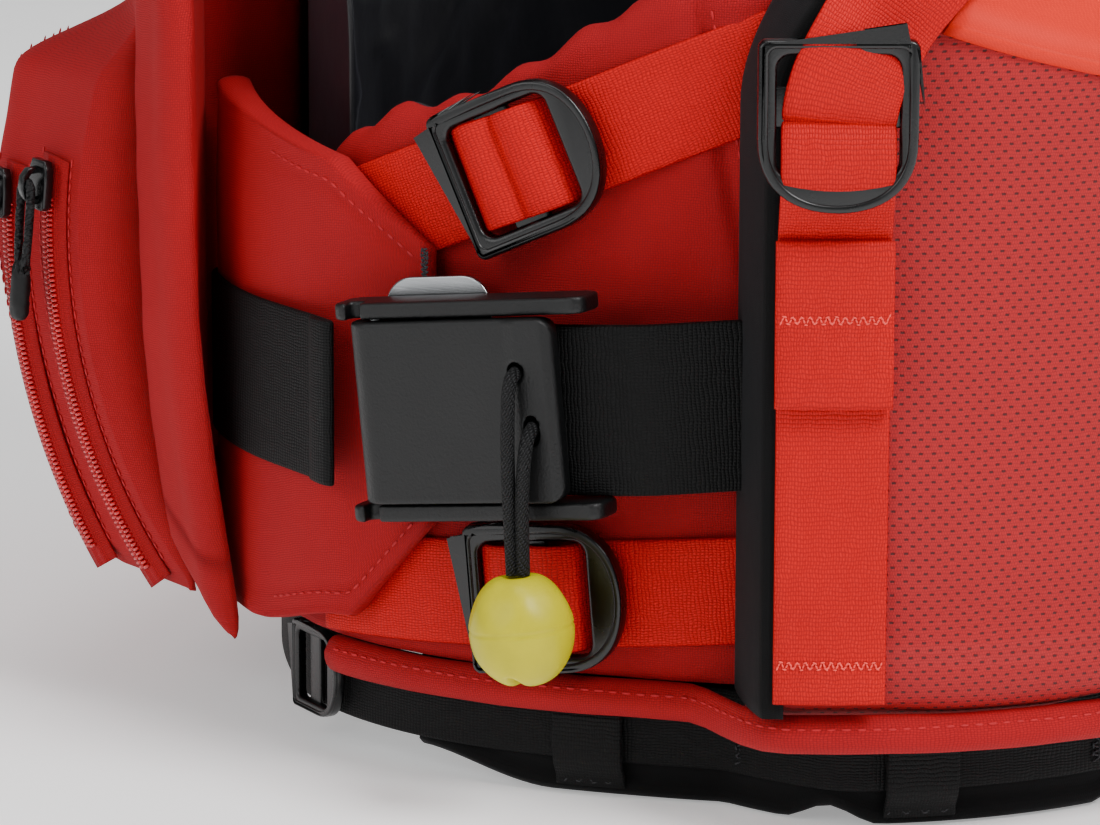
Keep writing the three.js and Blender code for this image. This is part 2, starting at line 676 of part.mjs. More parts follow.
// The belt leaves the buckle to the front and comes back to it from behind. It runs over the wings,
// under the front panel, along the right side and under the back panel.
function addHarnessBelt() {
  const opposite = -2 * QUARTER;
  const round = -4 * QUARTER;
  const path = [
    [-63.5, FRONT_Z, FRONT_BELT_IN + 4.5],
    [-72, FRONT_Z, FRONT_BELT_IN],
    [-120, FRONT_Z, FRONT_BELT_IN],
    [-146, FRONT_Z, BELT_BEHIND_IN],
    [opposite + 146, FRONT_Z, BELT_BEHIND_IN],
    [opposite + 120, FRONT_Z, FRONT_BELT_IN],
    [opposite + 60, FRONT_Z, FRONT_BELT_IN],
    [opposite + 36, FRONT_Z + 2, FRONT_BELT_IN - 4],
    [opposite - 10, SIDE_Z, STRAP_IN],
    [opposite - 78, SIDE_Z, STRAP_IN],
    [opposite - 98, SIDE_Z, BELT_BEHIND_IN],
    [round + 98, SIDE_Z, BELT_BEHIND_IN],
    [round + 78, SIDE_Z, STRAP_IN],
    [round + 26, SIDE_Z, STRAP_IN],
    ...intoBuckle(round, 0),
  ];
  const end = [...intoBuckle(0, WEB_THICK + GAP).reverse(), [26, SIDE_Z, STRAP_OUT + GAP], [60, SIDE_Z, STRAP_OUT + GAP]];
  addPiece(vest, 'harness_belt', band(path, HARNESS_WIDTH, WEB_THICK, 1), BLACK, 0.9);
  addPiece(vest, 'harness_belt_end', band(end, HARNESS_WIDTH, WEB_THICK), BLACK, 0.9);
}

// The belt's last stretch, from the side panel up and into the buckle's rear mouth.
function intoBuckle(origin, lift) {
  const level = BUCKLE_SEAT + BELT_IN_BUCKLE + lift;
  return [
    [origin + 15, SIDE_Z - 1, STRAP_IN + 4 + lift],
    [origin + 5, SIDE_Z - 2, level + 3.3],
    [origin - 10, SIDE_Z - 3, level + 0.9],
  ];
}

// Extrudes a shape drawn in x and z by a width along y, centred on y = 0.
function acrossY(shape, width) {
  return extrude(shape, width).rotateX(Math.PI / 2).translate(0, width / 2, 0);
}

function rodY(radius, length, x, z, sides = 24) {
  return new THREE.CylinderGeometry(radius, radius, length, sides).translate(x, 0, z);
}

function buckleBody() {
  const x0 = -BUCKLE_LENGTH / 2;
  const x1 = BUCKLE_LENGTH / 2;
  const inner = BUCKLE_HEIGHT / 2 - FLANGE_THICK;
  const base = boxAt(-13, x1 - 2, -inner - 0.5, inner + 0.5, 0, BASE_THICK);
  const bar = boxAt(x0 - 0.5, x0 + 1.9, -inner - 0.5, inner + 0.5, 0, 4);
  const flange = acrossY(roundedRect(x0 - 1, x1 + 1, 0, BUCKLE_DEPTH - 2, 3.5), FLANGE_THICK);
  const top = flange.clone().translate(0, inner + FLANGE_THICK / 2, 0);
  const bottom = flange.clone().translate(0, -inner - FLANGE_THICK / 2, 0);
  const hole = rodY(PIN_RADIUS + PIN_CLEARANCE, BUCKLE_HEIGHT + 2, LEVER_PIN_X, LEVER_PIN_Z);
  return cut(join(base, bar, top, bottom), hole);
}

const CORD_HOLES = [[15, 9], [18, -3.5]];

function buckleLever() {
  const width = BUCKLE_HEIGHT - 2 * FLANGE_THICK - 2 * LEVER_SIDE_GAP;
  const top = LEVER_PIN_Z + LEVER_SPINE;
  const x1 = LEVER_PIN_X - LEVER_SPINE + LEVER_LENGTH;
  const arm = acrossY(roundedRect(LEVER_PIN_X, x1, top - LEVER_THICK, top, 1), width);
  const spine = rodY(LEVER_SPINE, width, LEVER_PIN_X, LEVER_PIN_Z);
  const bore = rodY(PIN_RADIUS + PIN_CLEARANCE, width + 2, LEVER_PIN_X, LEVER_PIN_Z);
  const holes = CORD_HOLES.map(([x, y]) => {
    const hole = new THREE.CylinderGeometry(CORD_HOLE_RADIUS, CORD_HOLE_RADIUS, 12, 16).rotateX(Math.PI / 2);
    return hole.translate(x, y, top - LEVER_THICK / 2);
  });
  return cut(join(arm, spine), bore, ...holes);
}

function buckleAt(geometry) {
  return seatOn(geometry, BUCKLE.s, BUCKLE.z, BUCKLE_SEAT, BUCKLE.tilt);
}

function addBuckle() {
  const plateTop = BUCKLE_HEIGHT / 2 + 4;
  const plate = extrude(roundedRect(-24, -24 + PLATE_WIDTH, -BUCKLE_HEIGHT / 2 + 4, plateTop, 7), PLATE_THICK);
  plate.translate(0, 0, -PLATE_THICK - GAP);
  const pin = rodY(PIN_RADIUS, BUCKLE_HEIGHT - 0.6, LEVER_PIN_X, LEVER_PIN_Z);
  addPiece(vest, 'buckle_body', buckleAt(buckleBody()), BLACK, 0.5);
  addPiece(vest, 'buckle_lever', buckleAt(buckleLever()), BLACK, 0.5);
  addPiece(vest, 'lever_pin', buckleAt(pin), STEEL, 0.3, 1);
  addPiece(vest, 'buckle_plate', buckleAt(plate), STEEL, 0.2, 1);
}

// The release cord: two strands out of the lever's holes, down to a toggle ball.
// Each route's points are in the buckle's own frame: x along the belt, y up the buckle, z out.
const BALL_X = 13;
const BALL_Z_BELOW = -49;
const BALL_OUT = 18.5;
const CORD_ROUTES = {
  front: [[15, 9, 13.9], [14.6, 7.2, 16.4], [14.2, 2, 17.6], [13, -14, 18.2], [11.5, -35.5, 18.4]],
  rear: [[18, -3.5, 13.9], [17.8, -5.4, 16.2], [17.2, -10, 17.6], [15.8, -20, 18.2], [14.9, -35.5, 18.4]],
};

function cordTube(points) {
  const curve = new THREE.CatmullRomCurve3(points.map((p) => new THREE.Vector3(...p)));
  const ring = new THREE.Shape();
  ring.absarc(0, 0, CORD_DIAMETER / 2, 0, Math.PI * 2);
  return new THREE.ExtrudeGeometry(ring, { steps: 8, extrudePath: curve, curveSegments: 4, bevelEnabled: false });
}

function toggleBall() {
  const profile = spread(-90, 90, 10).map((a) => {
    const r = THREE.MathUtils.degToRad(a);
    return new THREE.Vector2(BALL_RADIUS * Math.cos(r) ** 0.85, (BALL_RADIUS + 1) * Math.sin(r));
  });
  profile[0].x = 0;
  profile[profile.length - 1].x = 0;
  return new THREE.LatheGeometry(profile, 14);
}

const RELEASE_CORD = ['release_cord_front', 'release_cord_rear', 'toggle_ball'];

function addReleaseCord() {
  const ball = toggleBall().translate(BALL_X, BALL_Z_BELOW, BALL_OUT);
  addPiece(vest, RELEASE_CORD[0], buckleAt(cordTube(CORD_ROUTES.front)), BLACK, 0.9);
  addPiece(vest, RELEASE_CORD[1], buckleAt(cordTube(CORD_ROUTES.rear)), BLACK, 0.9);
  addPiece(vest, RELEASE_CORD[2], buckleAt(ball), YELLOW, 0.4);
}

// ---- chest pocket and its zips -----------------------------------------------------------------

// The level turn s at which a layer d out from the torso reaches a sideways distance x, on the front.
function frontAtX(x, d) {
  let near = -QUARTER;
  let far = -60;
  for (let i = 0; i < 40; i++) {
    const mid = (near + far) / 2;
    if (at(mid, 0, d).x < x) near = mid;
    else far = mid;
  }
  return near;
}

function pocketRadius(x) {
  const side = Math.max(0, Math.abs(x) - POCKET_FLAT_HALF) / (POCKET_HALF_WIDTH - POCKET_FLAT_HALF);
  return POCKET_RADIUS - 2 * Math.min(1, (x / POCKET_FLAT_HALF) ** 2) - POCKET_SIDE_FALL * side;
}

function addPocket() {
  const halves = [0, 30, 60, 85, POCKET_FLAT_HALF, 107, 114, 121, POCKET_HALF_WIDTH];
  const xs = [...halves.slice(1).reverse().map((x) => -x), ...halves];
  const zs = spread(POCKET_BOTTOM, POCKET_TOP, 10);
  const backing = (x, z) => {
    const d = frontOut(z) + 1;
    return at(frontAtX(Math.abs(x), d), z, d).setX(x);
  };
  const face = (x, z) => {
    const p = backing(x, z);
    const r = pocketRadius(x);
    const rise = (1 - ease(POCKET_TOP - 22, POCKET_TOP, z)) * ease(POCKET_BOTTOM - 14, POCKET_BOTTOM + 8, z);
    const y = POCKET_AXIS_Y - Math.sqrt(r * r - (z - POCKET_AXIS_Z) ** 2);
    return p.setY(Math.min(p.y - 1, lerp(p.y, y, rise)));
  };
  addPiece(vest, 'chest_pocket', slab(xs, zs, backing, face), RED);
}

const WALL_RUN = POCKET_HALF_WIDTH - POCKET_FLAT_HALF;
const WALL_LENGTH = Math.hypot(WALL_RUN, POCKET_SIDE_FALL);
const WALL_IN = WALL_RUN / WALL_LENGTH;
const WALL_FORWARD = POCKET_SIDE_FALL / WALL_LENGTH;
const ZIPS = [
  { name: 'inner', x: 120, low: -33, high: 7 },
  { name: 'outer', x: 106, low: -29, high: 5 },
];
const ZIP_LIFT = 0.7;

// A frame on the pocket's side wall: x up along the zip, y forward across it, z out.
function onPocketSide(geometry, x, turn) {
  const a = THREE.MathUtils.degToRad(turn);
  const radial = new THREE.Vector3(0, -Math.cos(a), Math.sin(a));
  const along = new THREE.Vector3(0, Math.sin(a), Math.cos(a));
  const sideways = new THREE.Vector3(1, 0, 0);
  const across = sideways.clone().multiplyScalar(-WALL_IN).addScaledVector(radial, WALL_FORWARD);
  const out = sideways.clone().multiplyScalar(WALL_FORWARD).addScaledVector(radial, WALL_IN);
  const origin = new THREE.Vector3(x, POCKET_AXIS_Y, POCKET_AXIS_Z).addScaledVector(radial, pocketRadius(x));
  return geometry.clone().applyMatrix4(new THREE.Matrix4().makeBasis(along, across, out).setPosition(origin));
}

function zipChain({ x, low, high }) {
  const section = [[-1, 0], [-1, 1], [1, 1], [1, 0]];
  const turns = spread(low, high, Math.round((high - low) / ZIP_STEP_DEG));
  const rings = turns.map((turn) => section.map(([y, z]) => {
    const point = new THREE.BufferGeometry();
    const place = [0, (y * ZIP_WIDTH) / 2, ZIP_LIFT + z * ZIP_THICK];
    point.setAttribute('position', new THREE.Float32BufferAttribute(place, 3));
    const p = onPocketSide(point, x, turn).attributes.position;
    return new THREE.Vector3(p.getX(0), p.getY(0), p.getZ(0));
  }));
  return ringTube(rings);
}

const SLIDER_Z = ZIP_LIFT + ZIP_THICK + GAP;
const SLIDER_THICK = 2.5;
const BRIDGE_HEIGHT = 4;
const PULLER_BAR = 2;

// A slider: a plate over the chain with a bridge for the puller's bar.
function zipSlider() {
  const top = SLIDER_Z + SLIDER_THICK;
  const plate = extrude(roundedRect(-5.5, 5.5, -3.6, 3.6, 1.5), SLIDER_THICK, 3).translate(0, 0, SLIDER_Z);
  const bridge = boxAt(-3.4, 3.4, -0.9, 0.9, top - 0.2, top + BRIDGE_HEIGHT);
  const window = boxAt(-2.2, 2.2, -2, 2, top, top + BRIDGE_HEIGHT - 1);
  return cut(join(plate, bridge), window);
}

function zipPuller() {
  const half = PULLER_BAR / 2;
  const shape = roundedRect(-33, half, -4.8, 4.8, 2);
  shape.holes.push(roundedRect(-30.5, -half, -2.4, 2.4, 1));
  const middle = SLIDER_Z + SLIDER_THICK + (BRIDGE_HEIGHT - 1) / 2;
  return extrude(shape, PULLER_BAR, 3).translate(0, 0, middle - half);
}

function addZips() {
  for (const zip of ZIPS) {
    addPiece(vest, `${zip.name}_zip`, zipChain(zip), RED, 0.4);
    addPiece(vest, `${zip.name}_zip_slider`, onPocketSide(zipSlider(), zip.x, zip.high - 2.5), BLACK, 0.4);
    addPiece(vest, `${zip.name}_zip_puller`, onPocketSide(zipPuller(), zip.x, zip.high - 2.5), BLACK, 0.8);
  }
}

// ---- skirt and waist belt ----------------------------------------------------------------------

const SKIRT_FRONT = -52;
const SKIRT_SIDE_IN = 2.5;
const SKIRT_BACK_IN = 20;
const SKIRT_TOP = 29.6;
const NOTCH_PITCH = 61;
const NOTCH_RISE = 4.2;
const BELT_Z = 18.5;
const FRONT_BELT_Z = 25;
const LOOP_PLACES = [-8.5, 60];

function skirtIn(s) {
  const f = THREE.MathUtils.clamp((Math.abs(s - QUARTER) - (QUARTER - 46)) / 24, 0, 1);
  return lerp(SKIRT_BACK_IN, SKIRT_SIDE_IN, f);
}

// The skirt's lower edge: lobes that stand on the ground, with small notches between them.
function skirtLow(s) {
  const a = Math.abs(s - QUARTER);
  const toNotch = Math.abs(((a + NOTCH_PITCH / 2) % NOTCH_PITCH) - NOTCH_PITCH / 2);
  const front = 6 * ease(QUARTER + 18, QUARTER - SKIRT_FRONT, a);
  return a > QUARTER - 20 ? front : NOTCH_RISE * (1 - ease(0, 9, toNotch));
}

function addSkirt() {
  const notches = spread(0, 3, 3).flatMap((k) => [-9, -4, 0, 4, 9].flatMap((e) => {
    return [QUARTER + k * NOTCH_PITCH + e, QUARTER - k * NOTCH_PITCH + e];
  }));
  const ramps = [22, 46, 2 * QUARTER - 22, 2 * QUARTER - 46, -18, 2 * QUARTER + 18];
  const ss = facetSteps(SKIRT_FRONT, 2 * QUARTER - SKIRT_FRONT, [...notches, ...ramps]);
  const layer = (lift) => (s, v) => at(s, lerp(skirtLow(s), SKIRT_TOP, v), skirtIn(s) + lift);
  addPiece(vest, 'skirt', slab(ss, [0, 1], layer(0), layer(SKIRT_THICK - 1)), BLACK, 0.8);
}

const BELT_LIFT = SKIRT_THICK - 1 + WEB_GAP;
const BELT_SIDE_IN = SKIRT_SIDE_IN + BELT_LIFT;
const BELT_BACK_IN = SKIRT_BACK_IN + BELT_LIFT;

function addWaistBelt() {
  const far = 2 * QUARTER;
  const path = [
    [-QUARTER + 8, FRONT_BELT_Z, BELT_SIDE_IN],
    [-145, FRONT_BELT_Z, BELT_SIDE_IN],
    [-98, BELT_Z, BELT_SIDE_IN],
    [22, BELT_Z, BELT_SIDE_IN],
    [46, BELT_Z, BELT_BACK_IN],
    [far - 46, BELT_Z, BELT_BACK_IN],
    [far - 22, BELT_Z, BELT_SIDE_IN],
    [far + 98, BELT_Z, BELT_SIDE_IN],
    [far + 145, FRONT_BELT_Z, BELT_SIDE_IN],
    [far + QUARTER - 8, FRONT_BELT_Z, BELT_SIDE_IN],
  ];
  addPiece(vest, 'waist_belt', band(path, WAIST_BELT_WIDTH, WEB_THICK, 1), BLACK, 0.8);
}

// A loop is sewn to the skirt under the belt and stands clear of the belt above that.
function addBeltLoops() {
  LOOP_PLACES.forEach((s, i) => {
    const clear = BELT_LIFT + WEB_THICK + WEB_GAP;
    const rows = [[2.2, SKIRT_THICK - 1 + GAP], [5, SKIRT_THICK - 1 + GAP], [7.6, clear], [HEM_BOTTOM - GAP, clear]];
    const layer = (lift) => (u, v) => at(u, rows[v][0], skirtIn(u) + rows[v][1] + lift);
    const us = facetSteps(s - BELT_LOOP_WIDTH / 2, s + BELT_LOOP_WIDTH / 2);
    addPair(`belt_loop_${i ? 'back' : 'side'}`, slab(us, [0, 1, 2, 3], layer(0), layer(WEB_THICK)), BLACK, 0.8);
  });
}

function addWaistLocks() {
  const k = WAIST_LOCK_SCALE;
  const lock = ladderLock().scale(k, k, k);
  addPair('waist_lock', seatOn(lock, -84, BELT_Z - 0.5, BELT_SIDE_IN + WEB_THICK + WEB_GAP, 0), BLACK, 0.35);
}

const CLIP_DEPTH = 10;
const CLIP_LENGTH = 30;
const PRONG_LENGTH = 20;
const CLIP_WALL = 2.2;
const CLIP_CLEARANCE = 0.5;

function clipSocket() {
  const half = CLIP_HEIGHT / 2;
  const body = extrude(roundedRect(0, CLIP_LENGTH, -half, half, 5), CLIP_DEPTH, 4);
  const mouth = boxAt(-1, PRONG_LENGTH + CLIP_CLEARANCE, -half + 4, half - 4, CLIP_WALL, CLIP_DEPTH - CLIP_WALL);
  return cut(body, mouth);
}

function clipPlug() {
  const half = CLIP_HEIGHT / 2;
  const lift = CLIP_WALL + CLIP_CLEARANCE;
  const body = extrude(roundedRect(-CLIP_LENGTH + 4, -CLIP_CLEARANCE, -half, half, 5), CLIP_DEPTH, 4);
  const strapSlot = boxAt(-CLIP_LENGTH + 7, -CLIP_LENGTH + 11, -11, 11, -1, CLIP_DEPTH + 1);
  const prongs = [-1, 1].map((side) => {
    const y = side * (half - 4 - CLIP_CLEARANCE - 2.5);
    return boxAt(-6, PRONG_LENGTH, y - 2.5, y + 2.5, lift, CLIP_DEPTH - lift);
  });
  return cut(join(body, ...prongs), strapSlot);
}

function addWaistClip() {
  const seat = BELT_SIDE_IN + WEB_THICK + WEB_GAP;
  const place = (piece) => seatOn(piece, -QUARTER, FRONT_BELT_Z, seat, 0);
  addPiece(vest, 'waist_clip_socket', place(clipSocket()), BLACK, 0.4);
  addPiece(vest, 'waist_clip_plug', place(clipPlug()), BLACK, 0.4);
}

// The vest's origin is on the ground, under the middle of its box without the release cord.
function centreVest() {
  const box = new THREE.Box3();
  vest.updateMatrixWorld(true);
  vest.traverse((piece) => {
    if (piece.isMesh && !RELEASE_CORD.includes(piece.name)) box.expandByObject(piece, true);
  });
  vest.position.set(-(box.min.x + box.max.x) / 2, -(box.min.y + box.max.y) / 2, -box.min.z);
}

addPanels();
addYoke();
addEdgeTrim();
addShoulderPads();
addSidePanels();
addWings();
addHem();
addSideStraps();
addShoulderStraps();
addHarnessBelt();
addBuckle();
addReleaseCord();
addPocket();
addZips();
addSkirt();
addWaistBelt();
addBeltLoops();
addWaistLocks();
addWaistClip();
centreVest();

export default vest;
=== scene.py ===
import math

import bmesh
import bpy
import numpy as np
from mathutils import Matrix, Vector
from mathutils.bvhtree import BVHTree


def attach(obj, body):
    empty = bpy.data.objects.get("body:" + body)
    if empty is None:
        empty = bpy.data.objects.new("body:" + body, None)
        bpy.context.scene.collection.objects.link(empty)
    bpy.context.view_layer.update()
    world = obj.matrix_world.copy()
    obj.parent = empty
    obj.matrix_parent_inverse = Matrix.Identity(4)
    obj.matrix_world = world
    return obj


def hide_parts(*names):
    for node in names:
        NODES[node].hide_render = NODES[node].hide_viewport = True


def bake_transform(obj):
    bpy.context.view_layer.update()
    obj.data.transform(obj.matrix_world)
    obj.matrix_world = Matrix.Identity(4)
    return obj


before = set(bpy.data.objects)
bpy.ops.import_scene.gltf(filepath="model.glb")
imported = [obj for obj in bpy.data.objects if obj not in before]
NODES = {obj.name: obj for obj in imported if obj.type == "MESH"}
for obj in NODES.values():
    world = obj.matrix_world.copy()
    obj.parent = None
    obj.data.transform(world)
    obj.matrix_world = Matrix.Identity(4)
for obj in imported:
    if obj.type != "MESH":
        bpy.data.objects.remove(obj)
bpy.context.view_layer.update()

# ---- torso surface ---------------------------------------------------------------------------

HALF_WIDTH, HALF_DEPTH, POWER = 160.0, 116.0, 2.5
SHIFT = np.array([0.0, 12.2747, 0.0])
turn = np.linspace(0, math.pi / 2, 6001)
WALK = np.c_[HALF_WIDTH * np.cos(turn).clip(0) ** (2 / POWER), HALF_DEPTH * np.sin(turn) ** (2 / POWER)]
RUN = np.r_[0, np.cumsum(np.hypot(*np.diff(WALK, axis=0).T))]
LEAN = np.c_[(WALK[:, 0] / HALF_WIDTH) ** 1.5 / HALF_WIDTH, (WALK[:, 1] / HALF_DEPTH) ** 1.5 / HALF_DEPTH]
LEAN /= np.linalg.norm(LEAN, axis=1)[:, None]
Q = RUN[-1]


def torso(s):
    w = (np.asarray(s, float) + 2 * Q) % (4 * Q) - 2 * Q
    a = np.abs(w)
    right = a > Q
    q = np.where(right, 2 * Q - a, a)
    x, y, nx, ny = (np.interp(q, RUN, c) for c in (*WALK.T, *LEAN.T))
    sx, sy = np.where(right, -1, 1), np.where(w < 0, -1, 1)
    return sx * x, sy * y, sx * nx, sy * ny


def at(s, z, d):
    """Points on the torso in metres."""
    s, z, d = np.broadcast_arrays(*(np.asarray(value, float) for value in (s, z, d)))
    x, y, nx, ny = torso(s)
    return (np.stack([x + nx * d, y + ny * d, z], -1) + SHIFT) * 0.001


def over_shoulder(s, degrees, d):
    """Points over the shoulder: 0 is the front seam and 180 the back seam."""
    s, degrees, d = np.broadcast_arrays(*(np.asarray(value, float) for value in (s, degrees, d)))
    x, y, nx, ny = torso(s)
    c, h = np.cos(np.radians(degrees)), np.sin(np.radians(degrees))
    n = np.stack([nx * np.abs(c), ny * c, h], -1)
    n /= np.linalg.norm(n, axis=-1)[..., None]
    p = np.stack([x, y * c, SHOULDER_Z + 100 * h], -1)
    return (p + n * d[..., None] + SHIFT) * 0.001


def lerp(a, b, f):
    return a + (b - a) * f


def ease(a, b, x):
    f = np.clip((x - a) / (b - a), 0, 1)
    return f * f * (3 - 2 * f)


def ridge(x, middle, width):
    """A smooth rise of height 1 at middle."""
    return np.exp(-((x - middle) / width) ** 2)


def arc(start, end, count):
    """Even angles in radians, from and to degrees."""
    return np.radians(np.linspace(start, end, count))


def running(points):
    """The length run along points, from 0."""
    return np.r_[0, np.cumsum(np.linalg.norm(np.diff(points, axis=0), axis=1))]


def moved(matrix, points):
    """Points in a matrix's own frame, in the part's frame."""
    m = np.array(matrix)
    return np.asarray(points) @ m[:3, :3].T + m[:3, 3]


def stretch(s, d):
    """Millimetres out at d for one millimetre round the torso."""
    return np.linalg.norm(at(s + 5, 0, d) - at(s - 5, 0, d), axis=-1) * 100


def seat(s, z, d, tilt=0.0):
    """Matrix from a piece's own millimetres to metres: x along the strap, y across it, z out."""
    x, y, nx, ny = torso(s)
    out = Vector((float(nx), float(ny), 0)).normalized()
    up = Vector((0, 0, 1))
    back = up.cross(out)
    m = Matrix((back, up, out)).transposed().to_4x4() @ Matrix.Rotation(math.radians(tilt), 4, "Z")
    return Matrix.Translation(Vector(at(s, z, d))) @ m @ Matrix.Scale(0.001, 4)


def smooth_noise(points, scale, seed=0):
    """Soft random waves, about -1 to 1, at points in metres."""
    r = np.random.default_rng(seed)
    total = np.zeros(points.shape[:-1])
    for _ in range(7):
        k = r.normal(size=3) / scale * 2.2
        total += np.sin(points @ k + r.uniform(0, 6.28))
    return total / 3.2


# ---- making meshes ---------------------------------------------------------------------------

def linked(name, data):
    thing = bpy.data.objects.new(name, data)
    bpy.context.scene.collection.objects.link(thing)
    return thing


def add_object(name, mesh, materials, smooth=True):
    for material in materials:
        mesh.materials.append(material)
    if smooth:
        mesh.shade_smooth()
    return linked(name, mesh)


def mesh_from(name, points, faces, uvs=None):
    mesh = bpy.data.meshes.new(name)
    mesh.from_pydata([tuple(p) for p in points], [], [tuple(int(i) for i in f) for f in faces])
    if uvs is not None:
        layer = mesh.uv_layers.new(name="mm")
        layer.data.foreach_set("uv", np.asarray(uvs, np.float32).ravel())
    mesh.update()
    return mesh


def outward(mesh):
    """Turns all faces out."""
    bm = bmesh.new()
    bm.from_mesh(mesh)
    bmesh.ops.recalc_face_normals(bm, faces=bm.faces)
    bm.to_mesh(mesh)
    bm.free()


def place(piece, body, replaced=()):
    if body is not None:
        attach(piece, body)
    if replaced:
        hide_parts(*replaced)
    return piece


def loft(name, rings, u, v, materials, side_material=None):
    """A closed tube through rings (n, m, 3). u (along) and v (round) are its weave's millimetres."""
    n, m = rings.shape[:2]
    i, k = (a.ravel() for a in np.meshgrid(np.arange(n - 1), np.arange(m), indexing="ij"))
    k1 = (k + 1) % m
    faces = np.c_[i * m + k, (i + 1) * m + k, (i + 1) * m + k1, i * m + k1]
    uu, vv = np.asarray(u, float), np.asarray(v, float)
    uu = np.broadcast_to(uu[:, None] if uu.ndim == 1 else uu, (n, m + 1))
    vv = np.broadcast_to(vv, (n, m + 1))
    corners = [(i, k), (i + 1, k), (i + 1, k + 1), (i, k + 1)]
    uv = np.stack([np.stack([uu[c], vv[c]], -1) for c in corners], 1).reshape(-1, 2)
    all_faces = faces.tolist()
    extra = []
    for row, order in ((0, range(m - 1, -1, -1)), (n - 1, range(m))):
        all_faces.append([row * m + j for j in order])
        extra += [[uu[row, j], vv[row, j]] for j in order]
    mesh = mesh_from(name, rings.reshape(-1, 3), all_faces, np.r_[uv, np.array(extra)])
    if side_material is not None:
        flags = np.zeros(len(all_faces), np.int32)
        flags[: len(faces)] = side_material(i, k)
        mesh.polygons.foreach_set("material_index", flags)
    outward(mesh)
    return add_object(name, mesh, materials)


def perimeter(rings):
    """Running length round each ring, in millimetres, (n, m + 1)."""
    closed = np.concatenate([rings, rings[:, :1]], 1)
    step = np.linalg.norm(np.diff(closed, axis=1), axis=-1) * 1000
    return np.c_[np.zeros(len(rings)), np.cumsum(step, axis=1)]


def heights_round(rings):
    """The height of each point of each ring, in millimetres, (n, m + 1)."""
    return np.concatenate([rings[..., 2], rings[:, :1, 2]], 1) * 1000


def section(width, thick, count=9):
    """A webbing's rounded section, as (across, lift) points."""
    r = min(thick / 2, 0.8)
    flat = np.linspace(-width / 2 + r, width / 2 - r, count)
    a = arc(90, -90, 5)[1:-1]
    right = np.c_[width / 2 - r + r * np.cos(a), thick / 2 + thick / 2 * np.sin(a)]
    return np.r_[np.c_[flat, np.full(count, thick)], right, np.c_[flat[::-1], np.zeros(count)],
                 np.c_[-right[::-1, 0], right[::-1, 1]]]


def resample(path, step=2.5, soften=0):
    """An even walk along a path of points, its corners rounded by averaging."""
    path = np.asarray(path, float)
    run = running(path)
    n = max(2, int(run[-1] / step))
    walk = np.linspace(0, run[-1], n + 1)
    out = np.stack([np.interp(walk, run, c) for c in path.T], -1)
    for _ in range(soften):
        out[1:-1] = (out[:-2] + 2 * out[1:-1] + out[2:]) / 4
    return out


def ribbon_rings(path, width, thick, tilt=None, count=9):
    """Webbing along a path of [s, z, d]. Its lift stays square to the path, also where d changes."""
    path = np.asarray(path, float)
    k = stretch(path[:, 0], path[:, 2])
    grad = np.gradient(path, axis=0)
    if tilt is None:
        run = np.hypot(grad[:, 0] * k, grad[:, 1])
        ts, tz = grad[:, 0] * k / run, grad[:, 1] / run
    else:
        ts = np.full(len(path), math.cos(math.radians(tilt)))
        tz = np.full(len(path), math.sin(math.radians(tilt)))
    along = grad[:, 0] * k * ts + grad[:, 1] * tz
    size = np.hypot(along, grad[:, 2]).clip(1e-6)
    along, rise = along / size, grad[:, 2] / size
    sec = section(width, thick, count)
    v, lift = sec[:, 0][None], sec[:, 1][None]
    step = -rise[:, None] * lift
    s = path[:, 0, None] + (-tz[:, None] * v + ts[:, None] * step) / k[:, None]
    z = path[:, 1, None] + ts[:, None] * v + tz[:, None] * step
    d = path[:, 2, None] + along[:, None] * lift
    run = running(path * np.c_[k, k * 0 + 1, k * 0 + 1])
    return at(s, z, d), run, np.r_[sec[:, 0], sec[0, 0]]


def ribbon(name, path, width, thick, material, body="vest", replaced=(), tilt=None,
           soften=3, step=2.5):
    rings, u, v = ribbon_rings(resample(path, step, soften), width, thick, tilt)
    return place(loft(name, rings, u, v, [material]), body, replaced)


def swap_side(path):
    """The same path on the wearer's right side."""
    path = np.array(path, float)
    path[:, 0] = -2 * Q - path[:, 0]
    return path


def pair(piece, cad=None, body="vest"):
    """Places a left piece and its twin on the wearer's right. {} in cad and body is the side."""
    mesh = piece.data.copy()
    mesh.transform(Matrix.Scale(-1, 4, (1, 0, 0)))
    mesh.flip_normals()
    twins = piece, linked(piece.name.replace("_left", "_right"), mesh)
    for twin, side in zip(twins, ("left", "right")):
        place(twin, body.format(side), (cad.format(side),) if cad else ())
    return twins


def padded_pair(piece, cad):
    for twin in pair(piece, cad):
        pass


# ---- materials -------------------------------------------------------------------------------

def linear(r, g, b):
    return tuple((c / 255) ** 2.2 for c in (r, g, b)) + (1.0,)


